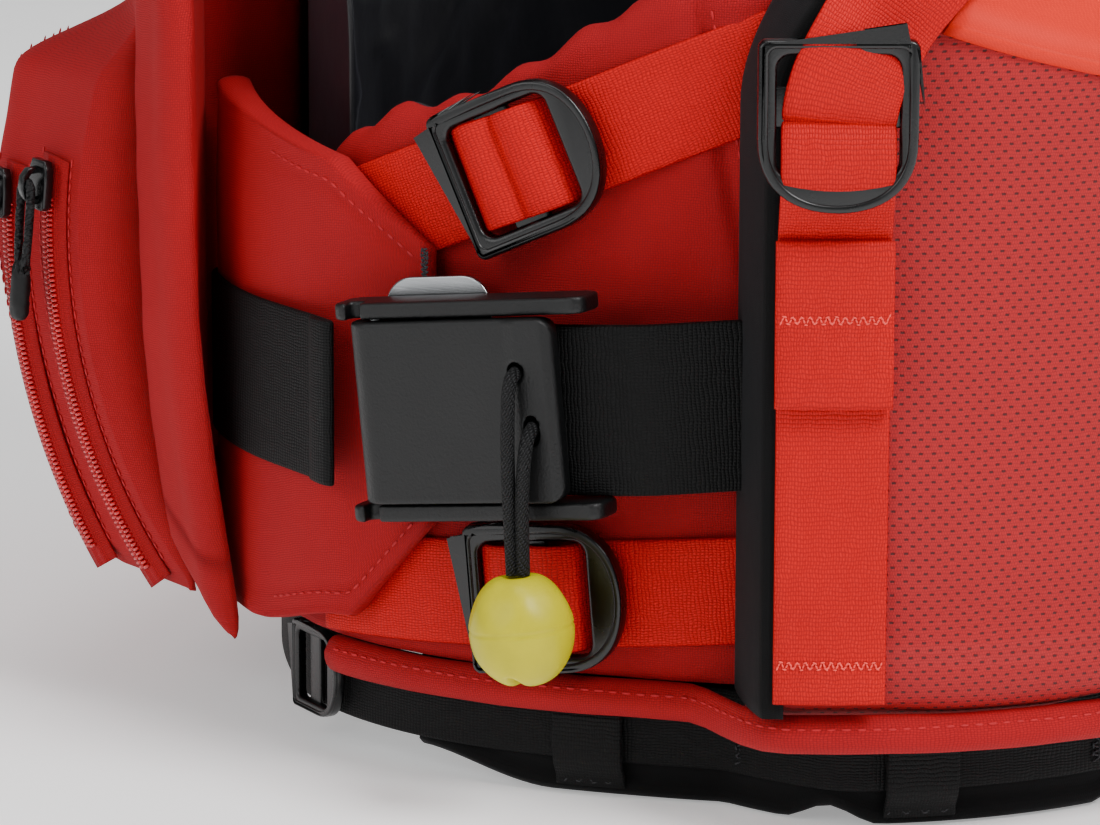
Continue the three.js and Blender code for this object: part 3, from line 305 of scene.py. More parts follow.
class Graph:
    """Short ways to add nodes to a tree."""

    def __init__(self, tree):
        self.tree = tree

    def fill(self, node, inputs):
        for key, value in inputs.items():
            if isinstance(value, bpy.types.NodeSocket):
                self.tree.links.new(value, node.inputs[key])
            else:
                node.inputs[key].default_value = value
        return node

    def add(self, kind, inputs=None, **settings):
        node = self.tree.nodes.new(kind)
        for key, value in settings.items():
            setattr(node, key, value)
        return self.fill(node, inputs or {})

    def math(self, operation, a, b=0.0, c=0.0):
        return self.add("ShaderNodeMath", {0: a, 1: b, 2: c}, operation=operation).outputs[0]

    def group(self, tree, inputs):
        return self.add("ShaderNodeGroup", inputs, node_tree=tree).outputs

    def noise(self, place_at, **inputs):
        return self.add("ShaderNodeTexNoise", {"Vector": place_at, **inputs}).outputs[0]

    def bump(self, height, distance, strength, **under):
        inputs = {"Height": height, "Distance": distance, "Strength": strength, **under}
        return self.add("ShaderNodeBump", inputs).outputs[0]

    def tint(self, vector, share):
        """A colour made darker or lighter, or any three numbers times a share."""
        return self.add("ShaderNodeVectorMath", {0: vector, "Scale": share}, operation="SCALE").outputs[0]

    def solid_place(self):
        return self.add("ShaderNodeTexCoord").outputs["Object"]

    def cloth_place(self):
        """Millimetres along and across the cloth."""
        return self.add("ShaderNodeUVMap", uv_map="mm").outputs[0]


def node_group(name, inputs, outputs, family="Shader"):
    """A new node group, its graph, and its nodes of given inputs and of outputs."""
    tree = bpy.data.node_groups.new(name, f"{family}NodeTree")
    for label, kind, default in inputs:
        socket = tree.interface.new_socket(name=label, in_out="INPUT", socket_type=f"NodeSocket{kind}")
        if default is not None:
            socket.default_value = default
    for label, kind in outputs:
        tree.interface.new_socket(name=label, in_out="OUTPUT", socket_type=f"NodeSocket{kind}")
    g = Graph(tree)
    return tree, g, g.add("NodeGroupInput").outputs, g.add("NodeGroupOutput")


def make_weave():
    """Threads crossing over and under. Height is 0 in the gaps and 1 on a thread's back."""
    tree, g, given, out = node_group(
        "Weave", [("Vector", "Vector", None), ("Pitch along", "Float", 0.8), ("Pitch across", "Float", 0.8),
                  ("Offset", "Float", 0.0)], [("Height", "Float"), ("Tone", "Float")])
    split = g.add("ShaderNodeSeparateXYZ", {0: given["Vector"]}).outputs
    wobble = g.noise(given["Vector"], Scale=0.25, Detail=1.0)
    shift = g.math("MULTIPLY", g.math("SUBTRACT", wobble, 0.5), 1.2)
    u = g.math("DIVIDE", g.math("ADD", split[0], shift), given["Pitch along"])
    v = g.math("DIVIDE", g.math("ADD", split[1], shift), given["Pitch across"])
    row = g.math("MULTIPLY", g.math("FLOOR", v), given["Offset"])
    a = g.math("SINE", g.math("MULTIPLY", g.math("ADD", u, row), math.pi))
    b = g.math("SINE", g.math("MULTIPLY", v, math.pi))
    both = g.math("MULTIPLY", a, b)
    g.fill(out, {"Height": g.math("POWER", g.math("ABSOLUTE", both), 0.5),
                 "Tone": g.math("ADD", g.math("MULTIPLY", g.math("SIGN", both), 0.5), 0.5)})
    return tree


def make_uneven():
    """Slow uneven tone over a piece, from 0 to 1, and fine grain."""
    tree, g, given, out = node_group("Uneven tone", [("Vector", "Vector", None), ("Size", "Float", 30.0)],
                                     [("Tone", "Float"), ("Grain", "Float")])
    slow = g.noise(given["Vector"], Scale=given["Size"], Detail=4.0, Roughness=0.55)
    ramp = g.add("ShaderNodeMapRange", {"Value": slow, "From Min": 0.3, "From Max": 0.7})
    g.fill(out, {"Tone": ramp.outputs[0], "Grain": g.noise(given["Vector"], Scale=2600.0, Detail=2.0)})
    return tree


WEAVE = make_weave()
UNEVEN = make_uneven()


def new_material(name):
    material = bpy.data.materials.new(name)
    material.use_nodes = True
    return material, Graph(material.node_tree), material.node_tree.nodes["Principled BSDF"]


def fabric(name, color, pitch=(0.8, 0.8), depth=0.12, offset=0.0, gap_shade=0.45, roughness=0.85, sheen=0.25,
           tone=0.12, specular=0.3, sheen_tint=None):
    """A woven cloth: its pitch is in millimetres along and across, and its depth in millimetres. Its colour
    has painted shade in the gaps between threads.
    """
    material, g, shader = new_material(name)
    here = g.solid_place()
    weave = g.group(WEAVE, {"Vector": g.cloth_place(), "Pitch along": pitch[0], "Pitch across": pitch[1],
                            "Offset": offset})
    uneven = g.group(UNEVEN, {"Vector": here, "Size": 22.0})
    # Painted shade: the colour is darker in the gaps between threads, where the weave's height is low.
    dark = g.math("MULTIPLY_ADD", weave["Height"], 1 - gap_shade, gap_shade)
    thread = g.math("MULTIPLY_ADD", weave["Tone"], 0.10, 0.92)
    slow = g.math("MULTIPLY_ADD", uneven["Tone"], tone, 1 - tone / 2)
    grain = g.math("MULTIPLY_ADD", uneven["Grain"], 0.25, 0.87)
    shade = g.math("MULTIPLY", g.math("MULTIPLY", dark, thread), g.math("MULTIPLY", slow, grain))
    threads = g.bump(weave["Height"], depth * 0.001, 0.8)
    g.fill(shader, {"Base Color": g.tint(color[:3], shade),
                    "Normal": g.bump(g.noise(here, Scale=90.0, Detail=3.0), 0.0012, 0.25, Normal=threads),
                    "Roughness": roughness, "Specular IOR Level": specular, "Sheen Weight": sheen,
                    "Sheen Roughness": 0.5, "Sheen Tint": sheen_tint or color})
    return material


def mesh_fabric(name, color):
    """Knitted mesh: rows of short openings, each row shifted by half a step, with painted shade in the
    openings and between the threads.
    """
    material, g, shader = new_material(name)
    cloth = g.cloth_place()
    split = g.add("ShaderNodeSeparateXYZ", {0: cloth}).outputs
    row = g.math("DIVIDE", split[1], 1.6)
    shift = g.math("MULTIPLY", g.math("FLOOR", row), 0.5)
    column = g.math("ADD", g.math("DIVIDE", split[0], 3.0), shift)
    open_at = []
    for count, start, end in ((column, 0.2, 0.12), (row, 0.24, 0.12)):
        away = g.math("ABSOLUTE", g.math("SUBTRACT", g.math("FRACT", count), 0.5))
        open_at.append(g.add("ShaderNodeMapRange", {"Value": away, "From Min": start, "From Max": end}))
    hole = g.math("MULTIPLY", *(part.outputs[0] for part in open_at))
    fine = g.group(WEAVE, {"Vector": cloth, "Pitch along": 0.6, "Pitch across": 0.8, "Offset": 0.5})
    uneven = g.group(UNEVEN, {"Vector": g.solid_place(), "Size": 18.0})
    # Painted shade: the colour is darker in the openings and in the gaps between the mesh's threads.
    hole_shade = g.math("MULTIPLY_ADD", hole, -0.8, 1.0)
    knit_gap_shade = g.math("MULTIPLY_ADD", fine["Height"], 0.5, 0.55)
    slow = g.math("MULTIPLY_ADD", uneven["Tone"], 0.1, 0.95)
    height = g.math("SUBTRACT", g.math("MULTIPLY", fine["Height"], 0.4), hole)
    shade = g.math("MULTIPLY", g.math("MULTIPLY", hole_shade, knit_gap_shade), slow)
    g.fill(shader, {"Base Color": g.tint(color[:3], shade),
                    "Normal": g.bump(height, 0.0002, 0.8), "Roughness": 0.75, "Sheen Weight": 0.03,
                    "Sheen Tint": color})
    return material


def plastic(name, color, roughness=0.42, grain=0.00006, scale=1500.0, coat=0.0, specular=0.5):
    """Moulded plastic with a fine spark texture, worn a little smoother in places."""
    material, g, shader = new_material(name)
    here = g.solid_place()
    tone = g.group(UNEVEN, {"Vector": here, "Size": 60.0})["Tone"]
    spark = g.noise(here, Scale=scale, Detail=3.0, Roughness=0.6)
    g.fill(shader, {"Base Color": g.tint(color[:3], g.math("MULTIPLY_ADD", tone, 0.25, 0.87)),
                    "Roughness": g.math("MULTIPLY_ADD", tone, 0.12, roughness - 0.06),
                    "Normal": g.bump(spark, grain, 1.0), "Coat Weight": coat, "Coat Roughness": 0.25,
                    "Specular IOR Level": specular})
    return material


def steel(name):
    """Steel plate polished in one direction."""
    material, g, shader = new_material(name)
    drawn = g.add("ShaderNodeMapping", {"Vector": g.solid_place(), "Scale": (60.0, 60.0, 2600.0)})
    lines = g.noise(drawn.outputs[0], Scale=1.0, Detail=4.0)
    g.fill(shader, {"Base Color": (0.34, 0.35, 0.36, 1), "Metallic": 1.0,
                    "Normal": g.bump(lines, 0.00002, 0.6),
                    "Roughness": g.math("MULTIPLY_ADD", lines, 0.22, 0.12)})
    return material


def braid(name, color):
    """Braided cord: strands crossing at a slant, from its own coordinates (along, round), with painted shade
    between the strands.
    """
    material, g, shader = new_material(name)
    slanted = g.add("ShaderNodeMapping", {"Vector": g.cloth_place(), "Rotation": (0, 0, math.radians(45))})
    strands = g.group(WEAVE, {"Vector": slanted.outputs[0], "Pitch along": 0.7, "Pitch across": 1.4,
                              "Offset": 0.5})["Height"]
    # Painted shade: the colour is darker in the gaps between the strands.
    g.fill(shader, {"Base Color": g.tint(color[:3], g.math("MULTIPLY_ADD", strands, 0.85, 0.25)),
                    "Normal": g.bump(strands, 0.0005, 1.0), "Roughness": 0.55, "Specular IOR Level": 0.3})
    return material


RED = linear(172, 1, 22)
RED_DEEP = linear(168, 2, 22)
WEB_RED = linear(206, 2, 8)
MESH_RED = linear(168, 1, 20)
ORANGE = linear(226, 38, 2)
BLACK = linear(7, 7, 8)

CORDURA = fabric("Red woven nylon", RED, (0.56, 0.56), 0.12, gap_shade=0.5, roughness=0.8, sheen=0.08)
SIDE_CLOTH = fabric("Red woven nylon, side", RED_DEEP, (0.56, 0.56), 0.12, gap_shade=0.5, roughness=0.8, sheen=0.2)
MESH = mesh_fabric("Red knitted mesh", MESH_RED)
YOKE_CLOTH = fabric("Orange nylon", ORANGE, (0.35, 0.35), 0.03, gap_shade=0.85, roughness=0.6, sheen=0.3)
SATIN = fabric("Black lining", linear(17, 17, 21), (0.3, 0.3), 0.02, gap_shade=0.9, roughness=0.42, sheen=0.15,
               specular=0.5, sheen_tint=(0.3, 0.3, 0.36, 1))
TWILL = fabric("Black twill", BLACK, (0.5, 0.9), 0.08, offset=0.5, gap_shade=0.6, roughness=0.85, sheen=0.06,
               specular=0.2, sheen_tint=(0.4, 0.4, 0.45, 1))
RED_WEB = fabric("Red webbing", WEB_RED, (1.0, 0.62), 0.2, gap_shade=0.55, roughness=0.6, sheen=0.03,
                 specular=0.22)
BLACK_WEB = fabric("Black webbing", linear(9, 9, 10), (1.0, 0.7), 0.25, gap_shade=0.35,
                   roughness=0.6, sheen=0.0, specular=0.2, sheen_tint=(0.5, 0.5, 0.52, 1))
BLACK_PLASTIC = plastic("Black plastic", linear(11, 12, 13), 0.44, grain=0.00014, specular=0.4)
LOCK_PLASTIC = plastic("Black lock plastic", linear(8, 9, 11), 0.28, grain=0.00003, scale=1400.0)
YELLOW = plastic("Yellow plastic", linear(186, 176, 0), 0.4, grain=0.00001, scale=500.0, coat=0.05,
                 specular=0.3)
COIL = plastic("Red coil", linear(196, 14, 26), 0.28, grain=0.00001, coat=0.4)
RED_THREAD, WEB_THREAD, BLACK_THREAD = (
    plastic(f"{thread} thread", linear(*color), 0.7, grain=0.00002) for thread, color in (
        ("Red", (176, 6, 26)), ("Light red", (240, 70, 64)), ("Black", (38, 38, 42))))
STEEL = steel("Polished steel")
CORD = braid("Black braid", linear(22, 22, 24))

# ---- measures shared with the frame ----------------------------------------------------------

SHOULDER_Z, ARMHOLE_Z, HEM_BOTTOM, PANEL_BOTTOM = 335.0, 195.0, 21.0, 30.3
SIDE_IN, SIDE_OUT = 1.3, 13.3
STRAP_IN, STRAP_S, WEB = 14.0, 42.3, 1.6
WING_IN, FRONT_BELT_IN = 16.3, 25.0
FRONT_LAP_IN, BACK_LAP_IN, PANEL_IN, BELT_BEHIND_IN = 27.3, 18.2, 4.0, 1.7
BACK_OUT = 44.0
ON_BACK, ON_YOKE = 44.7, 48.3
FRONT_HALF, BACK_HALF, SHOULDER_HALF, NECK_HALF = Q - 86, Q - 27, Q - 94, Q - 169
WALL_SLANT = 6.5


def taper(half, share):
    """How wide a panel is at a height, as a share of its lower half width."""
    def at_height(z):
        scoop = lerp(1, share, ease(ARMHOLE_Z - 30, ARMHOLE_Z + 70, z))
        return lerp(scoop, SHOULDER_HALF / half, ease(ARMHOLE_Z + 60, SHOULDER_Z, z))
    return at_height


front_taper, back_taper = taper(FRONT_HALF, 0.84), taper(BACK_HALF, 0.78)


def panel_top(drop, half):
    """A panel's upper edge over t, lower by drop at the neck."""
    def height(t):
        scoop = 1 - ease(NECK_HALF * 0.35, NECK_HALF, np.abs(t) / half * SHOULDER_HALF)
        return SHOULDER_Z - 0.3 - drop * scoop
    return height


front_top, back_top = panel_top(50, FRONT_HALF), panel_top(22, BACK_HALF)


def front_bottom(t):
    return lerp(44.0, 24.0, ease(Q - 125, Q - 95, np.abs(t)))


def front_out(z):
    return lerp(30.0, 42.0, ease(PANEL_BOTTOM - 20, 105, z))


def front_in(t):
    return lerp(PANEL_IN, FRONT_LAP_IN, ease(Q - 150, Q - 126, np.abs(t)))


def back_in(t):
    return lerp(PANEL_IN, BACK_LAP_IN, ease(Q - 94, Q - 78, np.abs(t)))


def rows_with_ends(count, dense=7, reach=0.06):
    """Shares from 0 to 1, closer together at both ends."""
    ends = reach * (1 - np.cos(np.linspace(0, math.pi / 2, dense)))
    return np.unique(np.r_[ends, np.linspace(reach, 1 - reach, count), 1 - ends])


def round_end(v, reach=0.05):
    """1 over a piece and falling as a quarter circle at its two ends."""
    e = np.clip(np.minimum(v, 1 - v) / reach, 0, 1)
    return np.sqrt(np.clip(1 - (1 - e) ** 2, 0, 1))


def padded_panel(name, middle, half, low, high, taper_at, d_in, d_out, materials, slant=0.0, corner=7.0,
                 rows=60, relief=None, columns=90, inner_relief=None):
    """A soft slab: each level section is a closed loop with rounded outer corners."""
    edge = half - slant
    flat = edge - corner
    bend = arc(0, 90, 7)[1:]
    side = np.linspace(0.25, 0.9, 4)
    round_t, round_d = flat + corner * np.sin(bend), -corner * (1 - np.cos(bend))
    FACE, ROUND, SIDE, BACK = range(4)
    parts = ((np.linspace(-1, 1, columns) * flat, np.ones(columns), FACE),
             (round_t, round_d, ROUND), (lerp(edge, half, side), 1 - side, SIDE),
             (np.linspace(1, -1, columns // 2) * (half - 1), np.zeros(columns // 2), BACK),
             (-lerp(edge, half, side[::-1]), 1 - side[::-1], SIDE), (-round_t[::-1], round_d[::-1], ROUND))
    t, share = (np.concatenate([part[i] for part in parts]) for i in (0, 1))
    kind = np.concatenate([np.full(len(part[0]), part[2]) for part in parts])
    v = rows_with_ends(rows)
    rings = []
    for level, full in zip(v, round_end(v, 0.035)):
        z = lerp(low(t), high(t), level)
        inside = d_in(t)
        outside = inside + (d_out(z) - inside) * full
        d = np.where(kind == FACE, outside, inside)
        d = np.where(kind == ROUND, outside + share * full, d)
        d = np.where(kind == SIDE, lerp(inside, outside - corner * full, np.clip(share, 0, 1)), d)
        if relief is not None:
            d = d + np.where(kind < SIDE, relief(t, z) * full, 0)
        if inner_relief is not None:
            d = d + np.where(kind == BACK, inner_relief(t, z), 0)
        rings.append(at(middle + t * taper_at(z), z, d))
    rings = np.array(rings)
    return loft(name, rings, perimeter(rings), heights_round(rings), materials)


# ---- front and back panels -------------------------------------------------------------------

def front_relief(t, z):
    """Soft hollows and folds of the front panel, with a rolled edge at its rear."""
    p = at(-Q + t, z, 40)
    a = np.abs(t)
    lean = smooth_noise(p * np.array([1, 1, 0.45]), 0.030, 3) * 0.8 + smooth_noise(p, 0.011, 4) * 0.18
    groove = 3.5 * ridge(a, FRONT_HALF - 28, 9.0) - 0.5 * ridge(a, FRONT_HALF - 30, 1.6)
    return lean + groove + ridge(a, FRONT_HALF - 13, 5.0)


padded = padded_panel("front_panel", -Q, FRONT_HALF - 34, front_bottom, front_top, front_taper, front_in,
                      front_out, [CORDURA], slant=-24, corner=6.5, relief=front_relief, rows=90, columns=120)
place(padded, "vest", ("front_shell", "front_foam"))


def back_relief(t, z):
    """Folds above the hem, slow waves, and a dip under each shoulder strap."""
    p = at(Q + t, z, 40)
    folds = smooth_noise(p * np.array([0.45, 0.45, 1.6]), 0.022, 8) * 1.6 * (1 - ease(34, 70, z))
    wide = smooth_noise(p, 0.060, 9) * 1.0 + smooth_noise(p, 0.017, 10) * 0.18
    return folds + wide - 1.2 * ridge(np.abs(t), Q - STRAP_S, 14.0)


padded = padded_panel("back_panel", Q, BACK_HALF, lambda t: PANEL_BOTTOM - 4.5 + 0 * t, back_top, back_taper,
                      back_in, lambda z: BACK_OUT + 0 * z, [MESH], slant=WALL_SLANT, corner=5.0,
                      relief=back_relief, rows=90, columns=150)
place(padded, "vest", ("back_shell", "back_foam"))


def lining_relief(seed, middle):
    def relief(t, z):
        p = at(middle + t, z, 0)
        ridged = 1 - np.abs(smooth_noise(p * np.array([1, 1, 0.5]), 0.020, seed))
        return -2.2 * ridged.clip(0, 1) ** 3 - 0.6
    return relief


for side, middle, half, low, high, shape in (
        ("front", -Q, FRONT_HALF, front_bottom, front_top, front_taper),
        ("back", Q, BACK_HALF, lambda t: PANEL_BOTTOM + 0 * t, back_top, back_taper)):
    lining = padded_panel(f"lining_{side}_cloth", middle, half, low, high, shape, lambda t: 0 * t,
                          lambda z: 1.2 + 0 * z, [SATIN], corner=0.6, rows=80, columns=80,
                          inner_relief=lining_relief(21 + len(side), middle))
    place(lining, "vest", (f"lining_{side}",))


def yoke():
    """The orange cloth over the top of the back, with a hem at its lower edge."""
    half = Q - 54
    share = half / BACK_HALF
    t = np.linspace(-half / share, half / share, 120)
    low = 158 + 26 * np.abs(t / BACK_HALF) ** 3
    v = rows_with_ends(26, 4, 0.02)
    z = lerp(low[None], back_top(t)[None] - 4, v[:, None])
    s = Q + t[None] * back_taper(z) * share
    wave = smooth_noise(at(s, z, 40), 0.045, 15) * 0.5 + smooth_noise(at(s, z, 40), 0.014, 16) * 0.1
    out = BACK_OUT + 1.6 + 1.1 * ridge(z, low + 3.0, 2.2) + wave + 1.1 * round_end(v, 0.02)[:, None]
    rings = np.concatenate([at(s, z, out), at(s, z, BACK_OUT + 0.9 + wave)[:, ::-1]], 1)
    piece = loft("back_yoke_cloth", rings, perimeter(rings), heights_round(rings), [YOKE_CLOTH])
    return place(piece, "vest", ("back_yoke",))


yoke()


def edge_wall():
    """The black wall along the back panel's side."""
    z = np.linspace(PANEL_BOTTOM, float(back_top(-BACK_HALF)), 90)[:, None]
    f = np.linspace(-0.06, 1.0, 14)
    base = Q - BACK_HALF * back_taper(z) * (1 - f * WALL_SLANT / BACK_HALF)
    lift = 1.3 + 0.4 * np.sin(np.clip(f, 0, 1) * math.pi) ** 0.5
    depth = lerp(BACK_LAP_IN, BACK_OUT + 0.8, f)
    rings = np.concatenate([at(base - lift, z, depth), at(base + 2.0, z, depth)[:, ::-1]], 1)
    return loft("back_edge_cloth_left", rings, z[:, 0], perimeter(rings), [TWILL])


pair(edge_wall(), "back_edge_{}")


def shoulder_pad():
    degrees = np.linspace(0.5, 179.5, 70)
    s = np.linspace(-169, -94, 30)
    rings = []
    for a in degrees:
        c = abs(math.cos(math.radians(a)))
        top = lerp(22, 42.0 if a < 90 else BACK_OUT, c ** 6)
        e = np.minimum(s + 169, -94 - s) / 9
        dome = np.sqrt(1 - (1 - np.clip(e, 0, 1)) ** 2)
        crease = -0.9 * abs(math.sin(math.radians(a) * 9)) ** 8
        wave = smooth_noise(over_shoulder(s, a, 20), 0.03, 31) * 0.7
        outer = over_shoulder(s, a, 2 + (top - 2 + crease + wave) * (0.35 + 0.65 * dome))
        rings.append(np.concatenate([outer, over_shoulder(s[::-1], a, 1.0)]))
    rings = np.array(rings)
    return loft("shoulder_pad_cloth_left", rings, np.linspace(0, 330, len(degrees)), perimeter(rings),
                [CORDURA, SATIN], lambda i, k: (k >= len(s)).astype(np.int32))


padded_pair(shoulder_pad(), "shoulder_pad_{}")

# ---- sides -----------------------------------------------------------------------------------

def armhole(s):
    return np.where(s < -47, lerp(140.0, 160.0, ease(-95, -47, s)),
                    lerp(160.0, ARMHOLE_Z, ease(-47, 30, s) ** 0.8))


def side_seam(z):
    """Where the side panel's upright seam runs."""
    return lerp(39.0, 15.0, (z - 60) / 130)


def side_relief(s, z):
    """A sewn seam that pulls the cloth in, and small waves."""
    p = at(s, z, 13)
    away = s - side_seam(z)
    seam = 1.5 * ridge(away, 9, 5.5) + 0.5 * ridge(away, -5, 4) - 1.5 * ridge(away, 0, 1.3)
    return seam + smooth_noise(p, 0.030, 41) * 0.7 + smooth_noise(p, 0.010, 42) * 0.22


def side_panel():
    """Its outside is smooth, its inside is puckered lining, and its top edge is scalloped."""
    s = np.linspace(-95, 74, 120)
    v = np.linspace(0, 1, 60)
    bend = arc(0, 180, 9)[1:-1]
    mid, r = (SIDE_IN + SIDE_OUT) / 2, (SIDE_OUT - SIDE_IN) / 2
    rings = []
    for x in s:
        top = float(armhole(x))
        scallop = 1.2 * math.sin(x * 0.42) if x < 0 else 0.6 * math.sin(x * 0.3)
        z = lerp(PANEL_BOTTOM, top - 6, v)
        outer = at(x, z, SIDE_OUT + side_relief(x, z))
        cap = at(x, top - 6 + (6 + scallop) * np.sin(bend), mid + r * np.cos(bend))
        puckers = 1 - np.abs(smooth_noise(at(x, z, 0) * np.array([1, 1, 0.5]), 0.02, 44))
        inner = at(x, z[::-1], SIDE_IN - 0.2 - 1.5 * puckers[::-1].clip(0, 1) ** 3)
        rings.append(np.concatenate([outer, cap, inner]))
    rings = np.array(rings)
    split = len(v) + len(bend) // 2
    return loft("side_panel_cloth_left", rings, s, perimeter(rings), [SIDE_CLOTH, SATIN],
                lambda i, k: (k >= split).astype(np.int32))


SIDE_PANEL = side_panel()
padded_pair(SIDE_PANEL, "side_panel_{}")

KNEE = -60.0


def wing_low(s):
    return np.where(s < KNEE, lerp(PANEL_BOTTOM, 38.0, ease(-95, KNEE, s)), lerp(38.0, 63.0, (s - KNEE) / 19))


def wing_high(s):
    return np.where(s < -64, lerp(158.0, 147.0, (s + 119) / 55), lerp(147.0, 128.0, (s + 64) / 23))


def wing():
    """The tapering rear end of the front panel, thinner towards its slanted edges."""
    s = np.r_[np.linspace(-119, -43, 80), -42.2, -41.5, -41.1]
    bend = arc(0, 180, 7)[1:-1]
    rings = []
    for x in s:
        low, high = float(wing_low(x)), float(wing_high(x))
        thick = lerp(8.0, 3.0, float(ease(-75, -41, x)))
        thick *= math.sqrt(max(0.05, 1 - max(0.0, (x + 43.5) / 2.5) ** 2))
        z = np.linspace(low + 1.5, high - 1.5, 56)
        p = at(x, z, WING_IN)
        wave = smooth_noise(p, 0.034, 51) * 0.8 + smooth_noise(p, 0.012, 52) * 0.2
        hem = -0.5 * ridge(np.minimum(z - low, high - z), 7, 1.2)
        outer = at(x, z, WING_IN + thick + (wave + hem) * min(1, thick / 3))
        caps = [at(x, high - 1.5 + 1.5 * np.sin(bend), WING_IN + thick / 2 * (1 + np.cos(bend))),
                at(x, low + 1.5 - 1.5 * np.sin(bend), WING_IN + thick / 2 * (1 - np.cos(bend)))]
        rings.append(np.concatenate([outer, caps[0], at(x, z[::-1], WING_IN), caps[1]]))
    rings = np.array(rings)
    return loft("wing_cloth_left", rings, s, perimeter(rings), [CORDURA])


WING = wing()
padded_pair(WING, "wing_{}")


def hem_out(s):
    return lerp(BACK_OUT - 4.4, SIDE_OUT + 0.5, ease(Q - 36, Q - 14, np.abs(s - Q)))


def hem():
    """The rolled binding round the bottom edge."""
    s = np.arange(-72, 2 * Q + 72.1, 4.0)[:, None]
    a = arc(0, 360, 19)[None, :-1]
    z = HEM_BOTTOM + 4.5 * (1 - np.cos(a)) + 0 * s
    flat = hem_out(s) + 3.9 * np.sin(a)
    lump = smooth_noise(at(s, z, flat), 0.02, 61) * 0.45
    rings = at(s, z + lump * 0.6, flat + lump - 0.5 * ridge(z, 28.2, 0.7))
    piece = loft("hem_cloth", rings, s[:, 0], perimeter(rings), [CORDURA])
    return place(piece, "vest", ("hem_roll",))


HEM = hem()

# ---- skirt, waist belt and loops -------------------------------------------------------------

def skirt_in(s):
    return lerp(20.0, 2.5, np.clip((np.abs(s - Q) - (Q - 46)) / 24, 0, 1))


def skirt_low(s):
    a = np.abs(s - Q)
    to_notch = np.abs((a + 30.5) % 61 - 30.5)
    front = 6 * ease(Q + 18, Q + 52, a)
    return np.where(a > Q - 20, front, 4.2 * (1 - ease(0, 9, to_notch)))


def skirt():
    """The black skirt, its lobes piped along their lower edges."""
    s = np.arange(-52, 2 * Q + 52.1, 2.6)
    v = np.linspace(0, 1, 18)
    bend = arc(0, 180, 7)[1:-1]
    rings = []
    for x in s:
        low, base = float(skirt_low(x)), float(skirt_in(x))
        z = lerp(low + 1.8, 29.6, v)
        wave = smooth_noise(at(x, z, base), 0.03, 71) * 0.5
        pipe = 0.9 * ridge(z, low + 2.2, 1.4) - 0.5 * ridge(z, low + 5.2, 0.9)
        outer, inner = at(x, z, base + 4 + wave + pipe), at(x, z[::-1], base)
        cap = at(x, low + 1.8 - 1.8 * np.sin(bend), base + 2.3 - 2.3 * np.cos(bend))
        rings.append(np.concatenate([outer, inner, cap]))
    rings = np.array(rings)
    piece = loft("skirt_cloth", rings, s, perimeter(rings), [TWILL])
    return place(piece, "vest", ("skirt",))


skirt()

far = 2 * Q
BELT_SIDE, BELT_BACK = 7.2, 24.7
BELT_LEFT = [[-Q + 8, 25, BELT_SIDE], [-145, 25, BELT_SIDE], [-98, 18.5, BELT_SIDE], [22, 18.5, BELT_SIDE],
             [46, 18.5, BELT_BACK]]
BELT_RIGHT = [[far - s, z, d] for s, z, d in BELT_LEFT[::-1]]
ribbon("waist_belt_webbing", BELT_LEFT + BELT_RIGHT, 20, WEB, BLACK_WEB,
       replaced=("waist_belt",), soften=2)


def belt_loop(name, s):
    base = float(skirt_in(s))
    path = [[s, z, base + d] for z, d in ((2.4, 4.3), (5.0, 4.3), (8.0, 7.2), (12, 7.4), (20.6, 7.3))]
    piece = ribbon(f"{name}_webbing_left", path, 17, WEB, BLACK_WEB, None, tilt=90, soften=2, step=1.5)
    pair(piece, name + "_{}")


belt_loop("belt_loop_side", -8.5)
belt_loop("belt_loop_back", 60)

# ---- hard pieces: outlines and solids --------------------------------------------------------

def oval(x, y, across, up, sides=32):
    """Outline of an ellipse from its middle and its two radii."""
    return [(x + across * math.cos(a), y + up * math.sin(a)) for a in arc(0, 360, sides + 1)[:-1]]


def rounded(x0, x1, y0, y1, r, steps=7):
    """Outline of a rectangle with round corners."""
    points = []
    corners = (x1 - r, y0 + r), (x1 - r, y1 - r), (x0 + r, y1 - r), (x0 + r, y0 + r)
    for (x, y), start in zip(corners, (-90, 0, 90, 180)):
        points += [(x + r * math.cos(a), y + r * math.sin(a)) for a in arc(start, start + 90, steps)]
    return points


def plate(outlines, z0, z1, bevel=0.5, resolution=3):
    """A flat solid with rounded rims. The first outline is the outside and the others are holes."""
    curve = bpy.data.curves.new("outline", "CURVE")
    curve.dimensions, curve.fill_mode = "2D", "BOTH"
    for points in outlines:
        spline = curve.splines.new("POLY")
        spline.points.add(len(points) - 1)
        for point, (x, y) in zip(spline.points, points):
            point.co = (x, y, 0, 1)
        spline.use_cyclic_u = True
    curve.extrude = (z1 - z0) / 2 - bevel
    curve.bevel_depth, curve.bevel_resolution, curve.offset = bevel, resolution, -bevel
    holder = bpy.data.objects.new("outline", curve)
    mesh = bpy.data.meshes.new_from_object(holder)
    bpy.data.objects.remove(holder)
    mesh.transform(Matrix.Translation((0, 0, (z0 + z1) / 2)))
    return mesh


def along_y(mesh):
    """Turns a plate drawn in x and z, with its depth along z, so that the depth runs along y."""
    mesh.transform(Matrix.Rotation(math.radians(90), 4, "X"))
    return mesh


def rod_mesh(radius, length, x, z):
    return along_y(plate([oval(x, z, radius, radius, 40)], -length / 2, length / 2, 0.3))


def shifted(mesh, x, y, z):
    mesh.transform(Matrix.Translation((x, y, z)))
    return mesh


def together(name, meshes):
    """One mesh of several, its doubles merged and its faces out."""
    bm = bmesh.new()
    for mesh in meshes:
        bm.from_mesh(mesh)
    bmesh.ops.remove_doubles(bm, verts=bm.verts, dist=0.001)
    bmesh.ops.recalc_face_normals(bm, faces=bm.faces)
    out = bpy.data.meshes.new(name)
    bm.to_mesh(out)
    bm.free()
    return out


